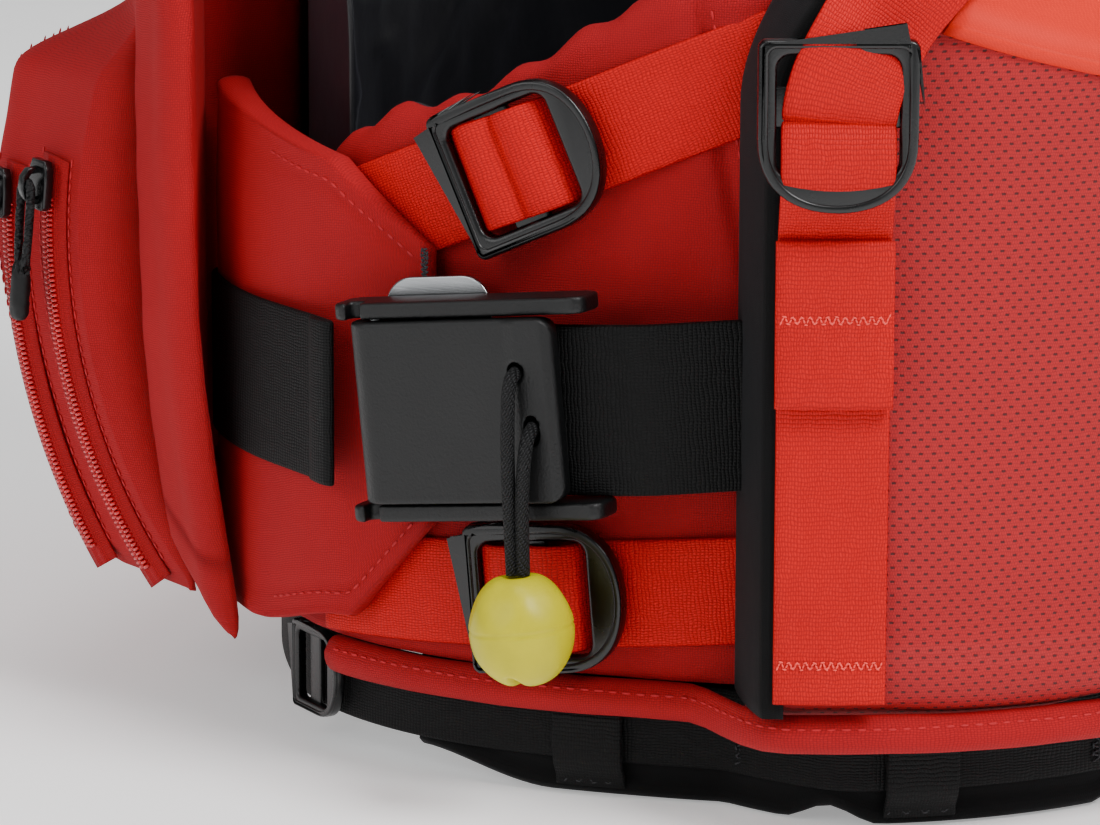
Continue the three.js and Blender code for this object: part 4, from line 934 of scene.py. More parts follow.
def baked(piece):
    """The piece with its modifiers made real."""
    graph = bpy.context.evaluated_depsgraph_get()
    mesh = bpy.data.meshes.new_from_object(piece.evaluated_get(graph))
    piece.modifiers.clear()
    piece.data = mesh
    return piece


def carved(piece, operation, tool_mesh):
    tool = add_object("tool", together("tool", [tool_mesh]), [])
    cut = piece.modifiers.new("cut", "BOOLEAN")
    cut.operation, cut.object, cut.solver = operation, tool, "EXACT"
    baked(piece)
    bpy.data.objects.remove(tool)


def fused(name, meshes, materials, voxel=0.4, smooth=6, cutters=()):
    """Solids melted into one with softened edges, still in its own millimetres."""
    piece = add_object(name, together(name, meshes), materials)
    for cutter in cutters:
        carved(piece, "DIFFERENCE", cutter)
    remesh = piece.modifiers.new("melt", "REMESH")
    remesh.mode, remesh.voxel_size = "VOXEL", voxel
    soften = piece.modifiers.new("soften", "SMOOTH")
    soften.factor, soften.iterations = 0.5, smooth
    baked(piece)
    piece.data.materials.clear()
    for material in materials:
        piece.data.materials.append(material)
    piece.data.shade_smooth()
    return piece


def settle(piece, matrix):
    """Moves a piece's mesh from its own millimetres to its place."""
    piece.data.transform(matrix)
    return piece


# ---- ladder locks ----------------------------------------------------------------------------

def bezier(a, b, c, d, steps=14):
    f = np.linspace(0, 1, steps)[1:, None]
    g = 1 - f
    a, b, c, d = (np.array([p]) for p in (a, b, c, d))
    return [tuple(p) for p in g ** 3 * a + 3 * g * g * f * b + 3 * g * f * f * c + f ** 3 * d]


def lock_outline():
    """A ladder lock seen from above: square at one end and round at the other."""
    points = [(-17.5, -17.5), (3, -17.5)]
    points += bezier((3, -17.5), (15, -17.5), (19, -8.5), (19, 0))
    points += bezier((19, 0), (19, 8.5), (15, 17.5), (3, 17.5))
    points.append((-17.5, 17.5))
    for y, start in ((15.5, 90), (-15.5, 180)):
        points += [(-17 + 2 * math.cos(a), y + 2 * math.sin(a)) for a in arc(start, start + 90, 5)]
    return points[:-1]


def make_lock():
    outline = lock_outline()
    body = plate([outline, rounded(-15.6, 10.6, -13.4, 13.4, 3.0)], 0.2, 4.8, 1.3, 4)
    bar = plate([rounded(-8.5, 0.5, -14.2, 14.2, 1.0)], 0.2, 2.5, 0.7)
    rim = plate([[(x * 0.995, y * 0.995) for x, y in outline], [(x * 0.90, y * 0.87) for x, y in outline]],
                3.2, 5.3, 0.7)
    return together("lock", [body, bar, rim])


LOCK = make_lock()


def lock(name, matrix, scale=1.0):
    mesh = LOCK.copy()
    mesh.transform(matrix @ Matrix.Scale(scale, 4))
    piece = add_object(f"{name}_left_moulding", mesh, [LOCK_PLASTIC])
    pair(piece, name + "_{}", name + "_{}")


SIDE_LOCKS = {"upper_side": (-20.0, 150.0, 24.0), "lower_side": (-15.0, 49.0, 5.0)}
FRONT_HUMP = [[-22, 14.0], [-19, 13.6], [-16.6, 14.4], [-14.6, 17.0], [-12.2, 19.9], [-9.2, 20.7],
              [-6.0, 20.2], [-4.3, 18.4], [-4.2, 16.8]]
REAR_HUMP = [[-3.9, 16.8], [-3.6, 18.6], [-1.6, 20.4], [1.8, 20.9], [5.0, 20.2], [7.2, 18.0], [8.4, 15.6],
             [10.6, 14.1], [14, 13.8], [20, 14.0], [26, 14.0]]


def side_strap(name, s0, z0, tilt):
    """A strap's front loop and rear part, each bending over the lock's bar."""
    k = float(stretch(s0, 15))
    c, n = math.cos(math.radians(tilt)), math.tan(math.radians(tilt))

    def on_strap(x, d):
        return [s0 + x * c / k, z0 + x * c / k * n, d]

    def flat_run(start, end, count):
        return [[s, z0 + (s - s0) * n, STRAP_IN] for s in np.linspace(start, end, count)]

    front = flat_run(-75, s0 - 28 * c / k, 12) + [on_strap(x, d) for x, d in FRONT_HUMP]
    rear = [on_strap(x, d) for x, d in REAR_HUMP] + flat_run(s0 + 30 * c / k, 46, 10)
    for side, flip in (("left", False), ("right", True)):
        for part, path, near, away in (("loop", front, -19, -30), ("strap", rear, 12, 26)):
            turned = [on_strap(away, STRAP_IN), on_strap(near, STRAP_IN)]
            if flip:
                path, turned = swap_side(path), swap_side(turned)
            piece = ribbon(f"{name}_{part}_webbing_{side}", path, 25, WEB, RED_WEB, None,
                           (f"{name}_{part}_{side}",), 180 - tilt if flip else tilt, soften=1, step=1.2)
            if flip:
                outward(piece.data)
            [Vector(at(*point)) for point in turned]
            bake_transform(piece)


for lock_name, (s0, z0, tilt) in SIDE_LOCKS.items():
    side_strap(lock_name, s0, z0, tilt)
    lock(f"{lock_name}_lock", seat(s0, z0, 16.3, tilt))
lock("waist_lock", seat(-84, 18, 9.5), 0.62)
lock("shoulder_lock", seat(42.3, 165, 50.2, -90))

# ---- shoulder straps -------------------------------------------------------------------------

def shoulder_anchor():
    """The sewn-down webbing rises under the lock's lower bar and ends in its window."""
    path = [[STRAP_S, z, d] for z, d in (
        (34, ON_BACK), (138, ON_BACK + 0.4), (143, 47.4), (147, 50.6), (150, 53.0), (154, 54.4), (160, 54.6),
        (164.5, 53.4), (165.2, 51.8))]
    return ribbon("shoulder_anchor_webbing_left", path, 25, WEB, RED_WEB, None, tilt=90, soften=2, step=1.5)


def shoulder_keeper():
    """The tail, folded back on itself where it is tacked."""
    path = [[STRAP_S, z, ON_BACK + lift] for z, lift in (
        (138.5, 1.9), (136, 2.6), (126, 2.2), (121.5, 1.9), (116, 2.2), (105, 2.9), (102, 2.4))]
    return ribbon("shoulder_keeper_left", path, 26, 2.6, RED_WEB, None, tilt=-90, soften=1, step=1.5)


def shoulder_strap():
    """From the lock's bar up the yoke, over the shoulder pad and down the front."""
    heights = np.linspace(165.8, SHOULDER_Z - 4, 70)
    edge = STRAP_S + BACK_HALF * (1 - back_taper(heights))
    s = lerp(edge, 132.0, ease(ARMHOLE_Z + 20, SHOULDER_Z, heights))
    hump = 1 - ease(181, 190, heights)
    d = ON_YOKE + hump * 5.6 * ease(163.5, 168.5, heights)
    d = np.where(heights < 167.5, np.maximum(d, 51.8), d)
    rings, _, v = ribbon_rings(resample(np.stack([s, heights, d], -1), 2.0, 1), 25, WEB)
    over = []
    sec = section(25, WEB)
    for a in np.linspace(176, 4, 44):
        c = abs(math.cos(math.radians(a)))
        pad = lerp(24.2, ON_YOKE, c ** 6)
        k = lerp(1, float(stretch(132, ON_YOKE)), c)
        over.append(over_shoulder(-132 + sec[:, 0] / k, a, pad + sec[:, 1]))
    k = float(stretch(132, 42))
    for z in np.linspace(SHOULDER_Z - 10, SHOULDER_Z - 30, 8):
        over.append(at(-132 + sec[:, 0] / k, z, 43 + sec[:, 1]))
    rings = np.concatenate([rings, np.array(over)])
    return loft("shoulder_strap_webbing_left", rings, running(rings.mean(1)) * 1000, v, [RED_WEB])


pair(shoulder_anchor(), "shoulder_anchor_{}")
pair(shoulder_keeper())
pair(shoulder_strap(), "shoulder_strap_{}")

# ---- harness belt ----------------------------------------------------------------------------

opposite, once_round = -2 * Q, -4 * Q
FRONT_Z, SIDE_Z, SEAT = 91.0, 98.0, 21.8


def into_buckle(origin, lift):
    """The belt's last stretch, up to the buckle and in under its lever."""
    level = SEAT + 3.2 + lift
    return [[origin + s, SIDE_Z - drop, d] for s, drop, d in (
        (44, 0, lerp(STRAP_IN, level, 0.4)), (24, 0.7, lerp(STRAP_IN, level, 0.8)), (8, 2, level + 1.2),
        (-10, 3, level + 0.9), (-22, 3.6, level + 0.9))]


FOLDED_END = [(-63.0, 30.4), (-58, 33.0), (-55.6, 32.6), (-55.0, 31.0), (-57.0, 29.4), (-64, 27.0),
              (-74, 25.4)]
UNDER_FRONT = [(-90, FRONT_BELT_IN), (-120, FRONT_BELT_IN), (-146, BELT_BEHIND_IN),
               (opposite + 146, BELT_BEHIND_IN), (opposite + 120, FRONT_BELT_IN),
               (opposite + 60, FRONT_BELT_IN)]
UNDER_BACK = [(opposite - 10, STRAP_IN), (opposite - 78, STRAP_IN), (opposite - 98, BELT_BEHIND_IN),
              (once_round + 98, BELT_BEHIND_IN), (once_round + 78, STRAP_IN), (once_round + 62, STRAP_IN)]
BELT = [[s, FRONT_Z, d] for s, d in FOLDED_END + UNDER_FRONT]
BELT += [[opposite + 36, FRONT_Z + 2, FRONT_BELT_IN - 4], *([s, SIDE_Z, d] for s, d in UNDER_BACK)]
ribbon("harness_belt_webbing", BELT + into_buckle(once_round, 0), 39, WEB, BLACK_WEB,
       replaced=("harness_belt",), tilt=180, soften=2, step=2.0)
BELT_END = [*into_buckle(0, 1.9)[::-1], [62, SIDE_Z, STRAP_IN + 2.0]]
ribbon("harness_belt_end_webbing", BELT_END, 39, WEB, BLACK_WEB,
       replaced=("harness_belt_end",), soften=2, step=2.0)

# ---- quick-release buckle --------------------------------------------------------------------

BUCKLE = seat(-27, 94, SEAT, 6)


def buckle_body():
    """A base with two flanges, a rib at its rear and an eye for the lever's pin."""
    flange_line = rounded(-32, 32, 0.2, 12, 3.4, 9)
    notch = plate([rounded(-28.2, -24.4, 8.2, 14, 1.0)], -30, 30, 0.1)
    eye = plate([oval(-12, 7.5, 1.5, 1.5, 24)], 19.5, 31, 0.1)
    upright = [plate([rounded(-31.5, -29.3, 0, 4, 0.8)], -22, 22, 0.2),
               plate([flange_line], 21.5, 25.5, 0.9, 4), plate([flange_line], -25.5, -21.5, 0.9, 4),
               plate([rounded(-12, -4, -0.5, 3.4, 1.2)], 22, 26.6, 0.6)]
    meshes = [plate([rounded(-13, 29, -22, 22, 1)], 0, 2.5, 0.4), *(along_y(mesh) for mesh in upright)]
    piece = fused("buckle_body_moulding", meshes, [BLACK_PLASTIC], 0.42, 4, [along_y(notch), along_y(eye)])
    return place(settle(piece, BUCKLE), "vest", ("buckle_body",))


def buckle_lever():
    """A flat lid round its pin, with a margin at its free end and two holes for the release cords."""
    top = 13.5
    line = [(-22.5 + 6 * math.cos(a), 7.5 + 6 * math.sin(a)) for a in arc(90, 330, 30)]
    line += [(-12, 9.0), (23.6, 9.0), (24.4, 9.8), (24.5, 12.6), (23.9, 13.6), (22.3, top + 0.9),
             (15.5, top + 0.9), (12.2, top), (-10, top)]
    holes = [plate([oval(*hole)], 0, 20, 0.1) for hole in ((15, 9.2, 2.1, 2.1), (18, -4.4, 2.0, 3.6))]
    lid = along_y(plate([line], -21.1, 21.1, 0.7, 4))
    piece = fused("buckle_lever_moulding", [lid], [BLACK_PLASTIC], 0.4, 4, holes)
    carved(piece, "INTERSECT", plate([rounded(-40, 24.5, -21.1, 21.1, 4.5)], -5, 20, 0.1))
    return place(settle(piece, BUCKLE), "lever", ("buckle_lever",))


buckle_body()
buckle_lever()
for name, mesh in (("buckle_plate", plate([rounded(-24, 3, -21.5, 29.5, 7, 12)], -1.9, -0.4, 0.35)),
                   ("lever_pin", rod_mesh(1.6, 50.4, -22.5, 7.5))):
    place(settle(add_object(f"{name}_steel", mesh, [STEEL]), BUCKLE), "vest", (name,))


def toggle():
    """The ball: two halves with a parting line, soft facets on top and a slot below."""
    a, b = np.meshgrid(arc(-90, 90, 90), arc(0, 360, 121)[:-1], indexing="ij")
    r = 12 * np.abs(np.cos(a)) ** 0.82
    z = 13 * np.sin(a)
    facet = 1 - 0.022 * (1 - np.cos(6 * b)) * ease(1, 8, z) - 0.03 * (1 - np.cos(4 * b)) * ease(-5, -12, z)
    r = r * facet - 0.28 * ridge(z, 0.6, 0.28)
    x, y = r * np.cos(b), r * np.sin(b)
    z = z + 2.4 * ridge(x, 0, 1.3) * ease(-9, -12, z)
    z = z - 1.6 * ridge(np.hypot(x, y), 0, 3) * ease(9, 12, z)
    rings = np.stack([x + 13, z - 49, y + 18.5], -1)
    mesh = loft("toggle_ball_moulding", rings, np.arange(90.0), np.arange(121.0), [YELLOW])
    return place(settle(mesh, BUCKLE), "toggle", ("toggle_ball",))


BALL = toggle()


def curve_through(points, step=0.5):
    """A smooth walk through points."""
    p = np.asarray(points, float)
    p = np.r_[[2 * p[0] - p[1]], p, [2 * p[-1] - p[-2]]]
    f = np.linspace(0, 1, 13)[:-1, None]
    out = []
    for a, b, c, d in zip(p, p[1:], p[2:], p[3:]):
        second, third = 2 * a - 5 * b + 4 * c - d, 3 * b - a - 3 * c + d
        out.append(0.5 * (2 * b + (c - a) * f + second * f ** 2 + third * f ** 3))
    return resample(np.concatenate([*out, p[-2:-1]]), step)


def tube_rings(line, radius, sides=20):
    tangent = np.gradient(line, axis=0)
    tangent /= np.linalg.norm(tangent, axis=1)[:, None]
    side = np.cross(tangent, [0.3, 0.1, 1.0])
    side /= np.linalg.norm(side, axis=1)[:, None]
    other = np.cross(tangent, side)
    a = arc(0, 360, sides + 1)[None, :-1, None]
    return line[:, None] + radius * (np.cos(a) * side[:, None] + np.sin(a) * other[:, None])


CORD_ROUTES = {"front": [[15, 9, 13.2], [14.7, 7.4, 16.0], [14.2, 2, 17.4], [13, -14, 18.2],
                         [12.0, -36.5, 18.4]],
               "rear": [[18, -3.5, 13.2], [17.8, -5.6, 16.0], [17.2, -10, 17.5], [15.9, -20, 18.2],
                        [14.6, -36.5, 18.4]]}


def release_cord(which):
    world = moved(BUCKLE, curve_through(CORD_ROUTES[which]))
    length = float(running(world)[-1])
    run = np.linspace(0, length * 1000, len(world))
    rings = tube_rings(world, 0.0016)
    piece = loft(f"release_cord_{which}_braid", rings, run, np.linspace(0, 9.92, 21), [CORD])
    place(piece, None, (f"release_cord_{which}",))
    if which == "rear":
        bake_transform(piece)
    else:
        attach(piece, "toggle")


release_cord("front")
release_cord("rear")

# ---- chest pocket and zips -------------------------------------------------------------------

AXIS_Y, AXIS_Z = -10.6, 118.4


def pocket_radius(x):
    a = np.abs(x)
    return 176 - 2 * np.minimum(1, (a / 100) ** 2) - 33 * np.maximum(0, a - 100) / 28


def on_pocket(x, degrees):
    """Matrix of a place on the pocket's side wall: x up along the zip, y forward across it, z out."""
    a = math.radians(degrees)
    length = math.hypot(28, 33)
    wall_in, forward = 28 / length, 33 / length
    radial = Vector((0, -math.cos(a), math.sin(a)))
    along = Vector((0, math.sin(a), math.cos(a)))
    sideways = Vector((1, 0, 0))
    turned = Matrix((along, -wall_in * sideways + forward * radial, forward * sideways + wall_in * radial))
    origin = Vector((x, AXIS_Y, AXIS_Z)) + radial * float(pocket_radius(x)) + Vector(SHIFT)
    return Matrix.Translation(origin * 0.001) @ turned.transposed().to_4x4() @ Matrix.Scale(0.001, 4)


def pocket():
    halves = np.r_[np.linspace(0, 96, 26), np.linspace(97, 128, 34)]
    xs = np.r_[-halves[:0:-1], halves]
    scan = np.linspace(-Q, -40, 900)
    rings = []
    for z in np.r_[32, 32.6, 34, np.linspace(36, 174, 84), 176, 177.4, 178]:
        d = float(front_out(z)) + 1
        x_of, y_of, nx, ny = torso(scan)
        back_y = np.interp(np.abs(xs), x_of + nx * d, y_of + ny * d)
        rise = (1 - ease(156, 178, z)) * ease(18, 40, z)
        soft = pocket_radius(xs)
        for _ in range(3):
            soft[1:-1] = (soft[:-2] + 2 * soft[1:-1] + soft[2:]) / 4
        p = np.stack([xs, np.full_like(xs, AXIS_Y), np.full_like(xs, z)], -1) * 0.001
        puff = smooth_noise(p, 0.045, 81) * 1.5 + smooth_noise(p, 0.014, 82) * 0.25
        away = np.abs(np.abs(xs) - 99)
        seam = 0.9 * ridge(away, 5, 3) - 0.9 * ridge(away, 0, 1.2)
        r = soft + puff * ease(125, 90, np.abs(xs)) + seam
        y = AXIS_Y - np.sqrt(np.maximum(r * r - (z - AXIS_Z) ** 2, 1))
        face = np.minimum(back_y - 1.2, lerp(back_y, y, rise))
        front = np.stack([xs, face, np.full_like(xs, z)], -1)
        back = np.stack([xs[::-1], back_y[::-1] + 0.6, np.full_like(xs, z)], -1)
        rings.append((np.concatenate([front, back]) + SHIFT) * 0.001)
    rings = np.array(rings)
    piece = loft("chest_pocket_cloth", rings, perimeter(rings), heights_round(rings), [CORDURA])
    place(piece, "vest", ("chest_pocket",))
    return piece


POCKET = pocket()
ZIPS = {"inner": (120.0, -33.0, 7.0), "outer": (106.0, -29.0, 5.0)}


def zip_tape(name, x, low, high):
    """The woven tape under the coils, with a small cord down its middle."""
    half_line = [(-6.5, 0.1), (-6.5, 0.6), (-3.2, 0.8), (-2.6, 1.6), (-1.6, 1.9), (-0.5, 1.5)]
    across = [(0, y, z) for y, z in half_line + [(-y, z) for y, z in half_line[::-1]]]
    turns = np.arange(low - 2, high + 0.01, 0.5)
    rings = np.array([moved(on_pocket(x, a), across) for a in turns])
    piece = loft(f"{name}_zip_tape", rings, np.radians(turns) * pocket_radius(x), perimeter(rings), [CORDURA])
    return place(piece, "vest", (f"{name}_zip",))


def slider_piece(name, x, turn_at):
    """A zip slider: its upper plate and the bridge that the puller hangs in."""
    half_line = [(-6.4, -2.6), (-5.2, -4.2), (3.6, -4.4), (6.0, -3.2)]
    outline = half_line + [(6.0, 3.2), (3.6, 4.4), (-5.2, 4.2), (-6.4, 2.6)]
    bridge = [(-5, 0), (-5, 2.2), (-3.6, 4.2), (-1, 5.2), (2, 5.0), (4, 3.6), (4.6, 0), (3.0, 0), (2.6, 2.6),
              (1, 3.6), (-1.6, 3.7), (-3.0, 2.4), (-3.4, 0)]
    meshes = [plate([outline], 3.1, 5.5, 0.5), shifted(along_y(plate([bridge], -1.1, 1.1, 0.35)), 0, 0, 4.9)]
    piece = add_object(f"{name}_zip_slider_metal", together("slider", meshes), [LOCK_PLASTIC])
    settle(piece, on_pocket(x, turn_at))
    return place(piece, f"{name}_slider", (f"{name}_zip_slider",))


def puller_piece(name, x, turn_at):
    """A looped cord puller: a cord through the slider's bridge, moulded together at its far end."""
    m = on_pocket(x, turn_at)
    head = [(-1 + 1.6 * math.cos(a), 2.6 * math.sin(a)) for a in arc(-90, 90, 9)]
    line = [(-22, -1.7), (-12, -2.5), *head, (-12, 2.5), (-22, 1.7)]
    walk = resample([(along, across, 8.2) for along, across in line], 0.7, 1)
    rings = moved(m, tube_rings(walk, 1.15, 14))
    loop = loft("loop", rings, np.arange(len(walk)) * 0.7, np.linspace(0, 7.2, 15), [CORD])
    grip_plates = [plate([rounded(-34, -19, -3.1, 3.1, 2.4)], 6.6, 9.8, 1.0),
                   plate([rounded(-31, -22, -1.6, 1.6, 0.8)], 9.4, 10.4, 0.4)]
    grip = settle(fused("grip", grip_plates, [LOCK_PLASTIC], 0.35, 3), m)
    piece = add_object(f"{name}_zip_puller_cord", together("puller", [loop.data, grip.data]), [CORD])
    for part in (loop, grip):
        bpy.data.objects.remove(part)
    return place(piece, f"{name}_puller", (f"{name}_zip_puller",))


for zip_name, (x, low, high) in ZIPS.items():
    zip_tape(zip_name, x, low, high)
    slider_piece(zip_name, x, high - 2.5)
    puller_piece(zip_name, x, high - 2.5)

# ---- waist clip ------------------------------------------------------------------------------

CLIP = seat(-Q, 25, 9.5)
clip_shell = [plate([rounded(0, 30, -17, 17, 5)], 0, 10, 1.4),
              plate([rounded(8, 26, -9, 9, 4)], 9.4, 10.7, 0.6)]
socket = fused("waist_clip_socket_moulding", clip_shell, [LOCK_PLASTIC], 0.5, 4,
               [plate([rounded(-2, 20.5, -13, 13, 1)], 2.2, 7.8, 0.2)])
place(settle(socket, CLIP), "vest", ("waist_clip_socket",))
prongs = [plate([rounded(-6, 20, middle - 2.55, middle + 2.55, 2)], 3, 7.2, 0.8) for middle in (9.75, -9.75)]
clip_frame = plate([rounded(-26, -0.5, -17, 17, 5), rounded(-22.6, -18, -11, 11, 1.5)], 0, 10, 1.4)
plug = fused("waist_clip_plug_moulding", [clip_frame, *prongs], [LOCK_PLASTIC], 0.5, 4)
place(settle(plug, CLIP), "clip_plug", ("waist_clip_plug",))

# ---- what repeats: stitches and coils --------------------------------------------------------

def bead_rows():
    """Geometry nodes: a bead on every point, laid along its own direction and standing out of the cloth."""
    tree, g, given, out = node_group(
        "Bead rows", [("Geometry", "Geometry", None), ("Length", "Float", 0.0022), ("Width", "Float", 0.0006),
                      ("Height", "Float", 0.0004), ("Unevenness", "Float", 0.12), ("Seed", "Int", 4),
                      ("Material", "Material", None)], [("Geometry", "Geometry")], "Geometry")
    named = [g.add("GeometryNodeInputNamedAttribute", {"Name": label}, data_type="FLOAT_VECTOR").outputs[0]
             for label in ("along", "out")]
    turned = g.add("FunctionNodeAlignEulerToVector", {"Vector": named[0]}, axis="X")
    turned = g.add("FunctionNodeAlignEulerToVector", {"Rotation": turned.outputs[0], "Vector": named[1]},
                   axis="Z", pivot_axis="X")
    bead = g.add("GeometryNodeMeshUVSphere", {"Segments": 8, "Rings": 5, "Radius": 0.5})
    size = g.add("ShaderNodeCombineXYZ", {0: given["Length"], 1: given["Width"], 2: given["Height"]})
    least, most = (g.math(kind, 1.0, given["Unevenness"]) for kind in ("SUBTRACT", "ADD"))
    change = g.add("FunctionNodeRandomValue", {"Seed": given["Seed"], 2: least, 3: most}, data_type="FLOAT")
    laid = g.add("GeometryNodeInstanceOnPoints", {
        "Points": given["Geometry"], "Instance": bead.outputs[0], "Rotation": turned.outputs[0],
        "Scale": g.tint(size.outputs[0], change.outputs[1])})
    real = g.add("GeometryNodeRealizeInstances", {0: laid.outputs[0]})
    smooth = g.add("GeometryNodeSetShadeSmooth", {0: real.outputs[0]})
    painted = g.add("GeometryNodeSetMaterial", {0: smooth.outputs[0], "Material": given["Material"]})
    g.fill(out, {0: painted.outputs[0]})
    return tree


BEADS = bead_rows()


def beads(name, points, along, out, size, material, unevenness=0.12):
    """Beads of size (length, width, height) in millimetres at points in metres."""
    mesh = mesh_from(name, points, [])
    for label, values in (("along", along), ("out", out)):
        attribute = mesh.attributes.new(label, "FLOAT_VECTOR", "POINT")
        attribute.data.foreach_set("vector", np.asarray(values, np.float32).ravel())
    holder = add_object(name, mesh, [], smooth=False)
    maker = holder.modifiers.new("beads", "NODES")
    maker.node_group = BEADS
    sockets = {s.name: s.identifier for s in BEADS.interface.items_tree if s.in_out == "INPUT"}
    values = {"Length": size[0] / 1000, "Width": size[1] / 1000, "Height": size[2] / 1000,
              "Unevenness": unevenness, "Seed": 4, "Material": material}
    for label, value in values.items():
        maker[sockets[label]] = value
    graph = bpy.context.evaluated_depsgraph_get()
    made = bpy.data.meshes.new_from_object(holder.evaluated_get(graph))
    bpy.data.objects.remove(holder)
    return place(add_object(name, made, []), "vest")


def surface_of(piece):
    """A tree of the piece's faces, to lay stitches on."""
    return BVHTree.FromPolygons([v.co.copy() for v in piece.data.vertices],
                                [list(p.vertices) for p in piece.data.polygons])


def laid_on(piece, points, along, out, lift=0.0001):
    """Points moved in along -out from 15 mm above until they meet the piece, less those that miss it."""
    tree = surface_of(piece)
    hits = [tree.ray_cast(Vector(p + n * 0.015), Vector(-n), 0.04)[0] for p, n in zip(points, out)]
    keep = np.array([hit is not None for hit in hits])
    found = np.array([np.array(hit) + n * lift for hit, n in zip(hits, out) if hit is not None])
    return found, along[keep], out[keep]


def line_on_torso(path, pitch):
    """Points every pitch along [s, z, d], their direction and the way out."""
    way = resample(path, 0.5)
    points = at(*way.T)
    run = running(points) * 1000
    marks = np.arange(pitch / 2, run[-1], pitch)
    p = np.stack([np.interp(marks, run, c) for c in points.T], -1)
    along = np.gradient(p, axis=0)
    along /= np.linalg.norm(along, axis=1)[:, None]
    _, _, nx, ny = torso(np.interp(marks, run, way[:, 0]))
    return p, along, np.stack([nx, ny, nx * 0], -1)


def stitched(name, lines, piece, material, pitch=3.2, size=(2.3, 0.62, 0.45)):
    """Rows of stitches along lines of [s, z, d], laid on a piece, on both sides of the vest."""
    rows = [line_on_torso(line, pitch) for line in lines]
    p, along, out = (np.concatenate(c) for c in zip(*rows))
    if piece is not None:
        p, along, out = laid_on(piece, p, along, out)
    flip = np.array([-1, 1, 1])
    beads(name, p, along, out, size, material)
    beads(name + "_right", p * flip, along * flip, out * flip, size, material)


def zigzag(s0, s1, z, d, height=2.4, pitch=1.6):
    """A bar tack: a tight zigzag between two s at one height."""
    count = int(abs(s1 - s0) / pitch)
    lows_and_highs = -height / 2, height / 2
    return [[lerp(s0, s1, i / count), z + lows_and_highs[i % 2], d] for i in range(count + 1)]


def to_and_fro(s, z, step, count, half, d):
    """Stitches that climb from z, half to each side of s."""
    return [[s + (half if i % 2 else -half), z + i * step, d] for i in range(count)]


seam_heights = np.linspace(PANEL_BOTTOM + 2, 186, 70)
seam_line = [[side_seam(z) + 3.2, z, 14] for z in seam_heights]
stitched("side_seam_stitches", [seam_line], SIDE_PANEL, RED_THREAD)
along_wing = np.linspace(-84, -45, 20)
wing_edges = [[[s, float(wing_high(s)) - 5.5, 22] for s in along_wing],
              [[-45, z, 20] for z in np.linspace(70, 121, 14)],
              [[s, float(wing_low(s)) + 5.5, 22] for s in along_wing]]
stitched("wing_stitches", wing_edges, WING, RED_THREAD)
hem_line = [[s, 27.5, float(hem_out(s)) + 3.5] for s in np.arange(-70, Q, 5)]
stitched("hem_stitches", [hem_line], HEM, RED_THREAD, pitch=3.4)
for index, (z, lift) in enumerate(((43.0, 1.8), (121.5, 4.6))):
    tack = zigzag(34.4, 50.2, z, ON_BACK + lift, 2.0, 0.62)
    stitched(f"shoulder_tack_{index}", [tack], None, WEB_THREAD, pitch=0.9, size=(1.1, 0.45, 0.4))
skirt_tacks = [zigzag(s - 6, s + 6, 4.0, float(skirt_in(s)) + 5.9, 2.0) for s in (-8.5, 60)]
skirt_tacks += [to_and_fro(s, 11, 1.0, 15, 0.9, float(skirt_in(s)) + 6.6) for s in (26, 95)]
stitched("skirt_tacks", skirt_tacks, None, BLACK_THREAD, pitch=1.1, size=(1.4, 0.5, 0.5))
wing_tack = to_and_fro(-41.6, 121, 0.55, 14, 0.8, 20.4)
stitched("wing_tack", [wing_tack], None, BLACK_THREAD, pitch=0.9, size=(1.4, 0.6, 0.6))


def zip_rows(x, turns, rows, up, run):
    """Places along a zip in rows of (shift, across), up from the pocket, run being 0 up it or 1 across."""
    found = []
    for degrees in turns:
        place_at = on_pocket(x, degrees)
        m = np.array(place_at)[:3] * 1000
        found += [(moved(place_at, [shift, across, up]), m[:, run], m[:, 2]) for shift, across in rows]
    return (np.array(column) for column in zip(*found))


for zip_name, (x, low, high) in ZIPS.items():
    degrees_per_mm = math.degrees(1 / float(pocket_radius(x)))
    turns = np.arange(low, high - 3.5, 1.25 * degrees_per_mm)
    teeth = zip_rows(x, turns, ((-0.3, -1.15), (0.3, 1.15)), 2.1, 1)
    beads(f"{zip_name}_zip_coil", *teeth, (2.9, 1.05, 1.5), COIL, unevenness=0.03)
    for_seam = [zip_rows(x, np.arange(low, high, 3.0 * degrees_per_mm), ((0, side),), 0.2, 0)
                for side in (-7.6, 7.6)]
    edge = laid_on(POCKET, *(np.concatenate(column) for column in zip(*for_seam)), 0.0002)
    beads(f"{zip_name}_zip_stitches", *edge, (2.2, 0.6, 0.5), RED_THREAD)

pocket_seams = []
for x in (88.0, 93.5):
    for a in np.radians(np.arange(-26, 17, 1.05)):
        radial = np.array([0, -math.cos(a), math.sin(a)])
        p = (np.array([x, AXIS_Y, AXIS_Z]) + SHIFT + radial * float(pocket_radius(x))) / 1000
        pocket_seams.append((p, np.array([0, math.sin(a), math.cos(a)]), radial))
seam = laid_on(POCKET, *(np.array(column) for column in zip(*pocket_seams)), 0.0002)
beads("pocket_seam_stitches", *seam, (2.4, 0.6, 0.5), RED_THREAD)

# ---- floor, light and camera -----------------------------------------------------------------

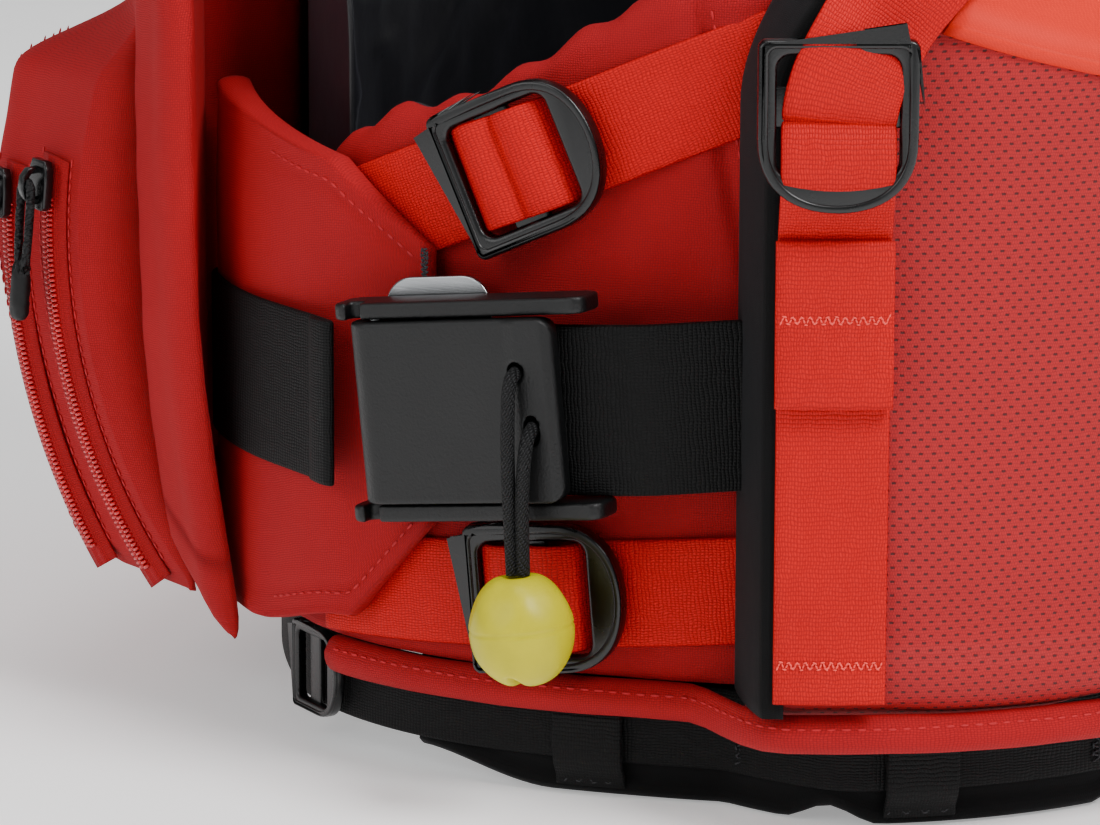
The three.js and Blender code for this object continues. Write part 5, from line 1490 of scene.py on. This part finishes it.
def aimed(thing, place_at, target):
    thing.location = place_at
    thing.rotation_mode = "QUATERNION"
    thing.rotation_quaternion = (Vector(target) - Vector(place_at)).to_track_quat("-Z", "Y")


def direction(azimuth, elevation):
    a, e = math.radians(azimuth), math.radians(elevation)
    return Vector((math.sin(a) * math.cos(e), -math.cos(a) * math.cos(e), math.sin(e)))


def pale(name, value):
    material, g, shader = new_material(name)
    g.fill(shader, {"Base Color": (value, value, value, 1), "Roughness": 0.9, "Emission Color": (1, 1, 1, 1),
                    "Emission Strength": 0.35})
    return material


FLOOR_HALF, FLOOR_Z = 40, -0.0005
floor = mesh_from("floor", [(x * FLOOR_HALF, y * FLOOR_HALF, FLOOR_Z) for x, y in (
    (-1, -1), (1, -1), (1, 1), (-1, 1))], [(0, 1, 2, 3)])
add_object("floor", floor, [pale("Floor", 0.95)], smooth=False)


LIT = Vector((0, 0, 0.15))


def area_light(name, azimuth, elevation, distance, size, energy):
    data = bpy.data.lights.new(name, "AREA")
    data.shape, data.size, data.energy = "DISK", size, energy
    light = linked(name, data)
    aimed(light, LIT + direction(azimuth, elevation) * distance, LIT)


area_light("key", 150, 45, 2.2, 1.0, 47)
area_light("fill", 60, 25, 2.4, 1.6, 17)
area_light("top", 110, 85, 2.0, 1.4, 16)
world = bpy.data.worlds.new("studio")
bpy.context.scene.world = world
world.use_nodes = True
sky = Graph(world.node_tree)
backdrop = world.node_tree.nodes["Background"]
backdrop.inputs[0].default_value = (1, 1, 1, 1)
seen = sky.add("ShaderNodeLightPath").outputs["Is Camera Ray"]
world.node_tree.links.new(sky.math("MULTIPLY_ADD", seen, 3.0, 0.38), backdrop.inputs[1])

AIM = Vector(at(-28, 94, 32))
camera_data = bpy.data.cameras.new("camera")
camera_data.lens, camera_data.sensor_width, camera_data.clip_start = 172.8, 36, 0.05
camera_data.shift_x, camera_data.shift_y = 0.08, -0.00227
camera = linked("camera", camera_data)
aimed(camera, AIM + direction(108, 11) * 1.2, AIM)
bpy.context.scene.camera = camera
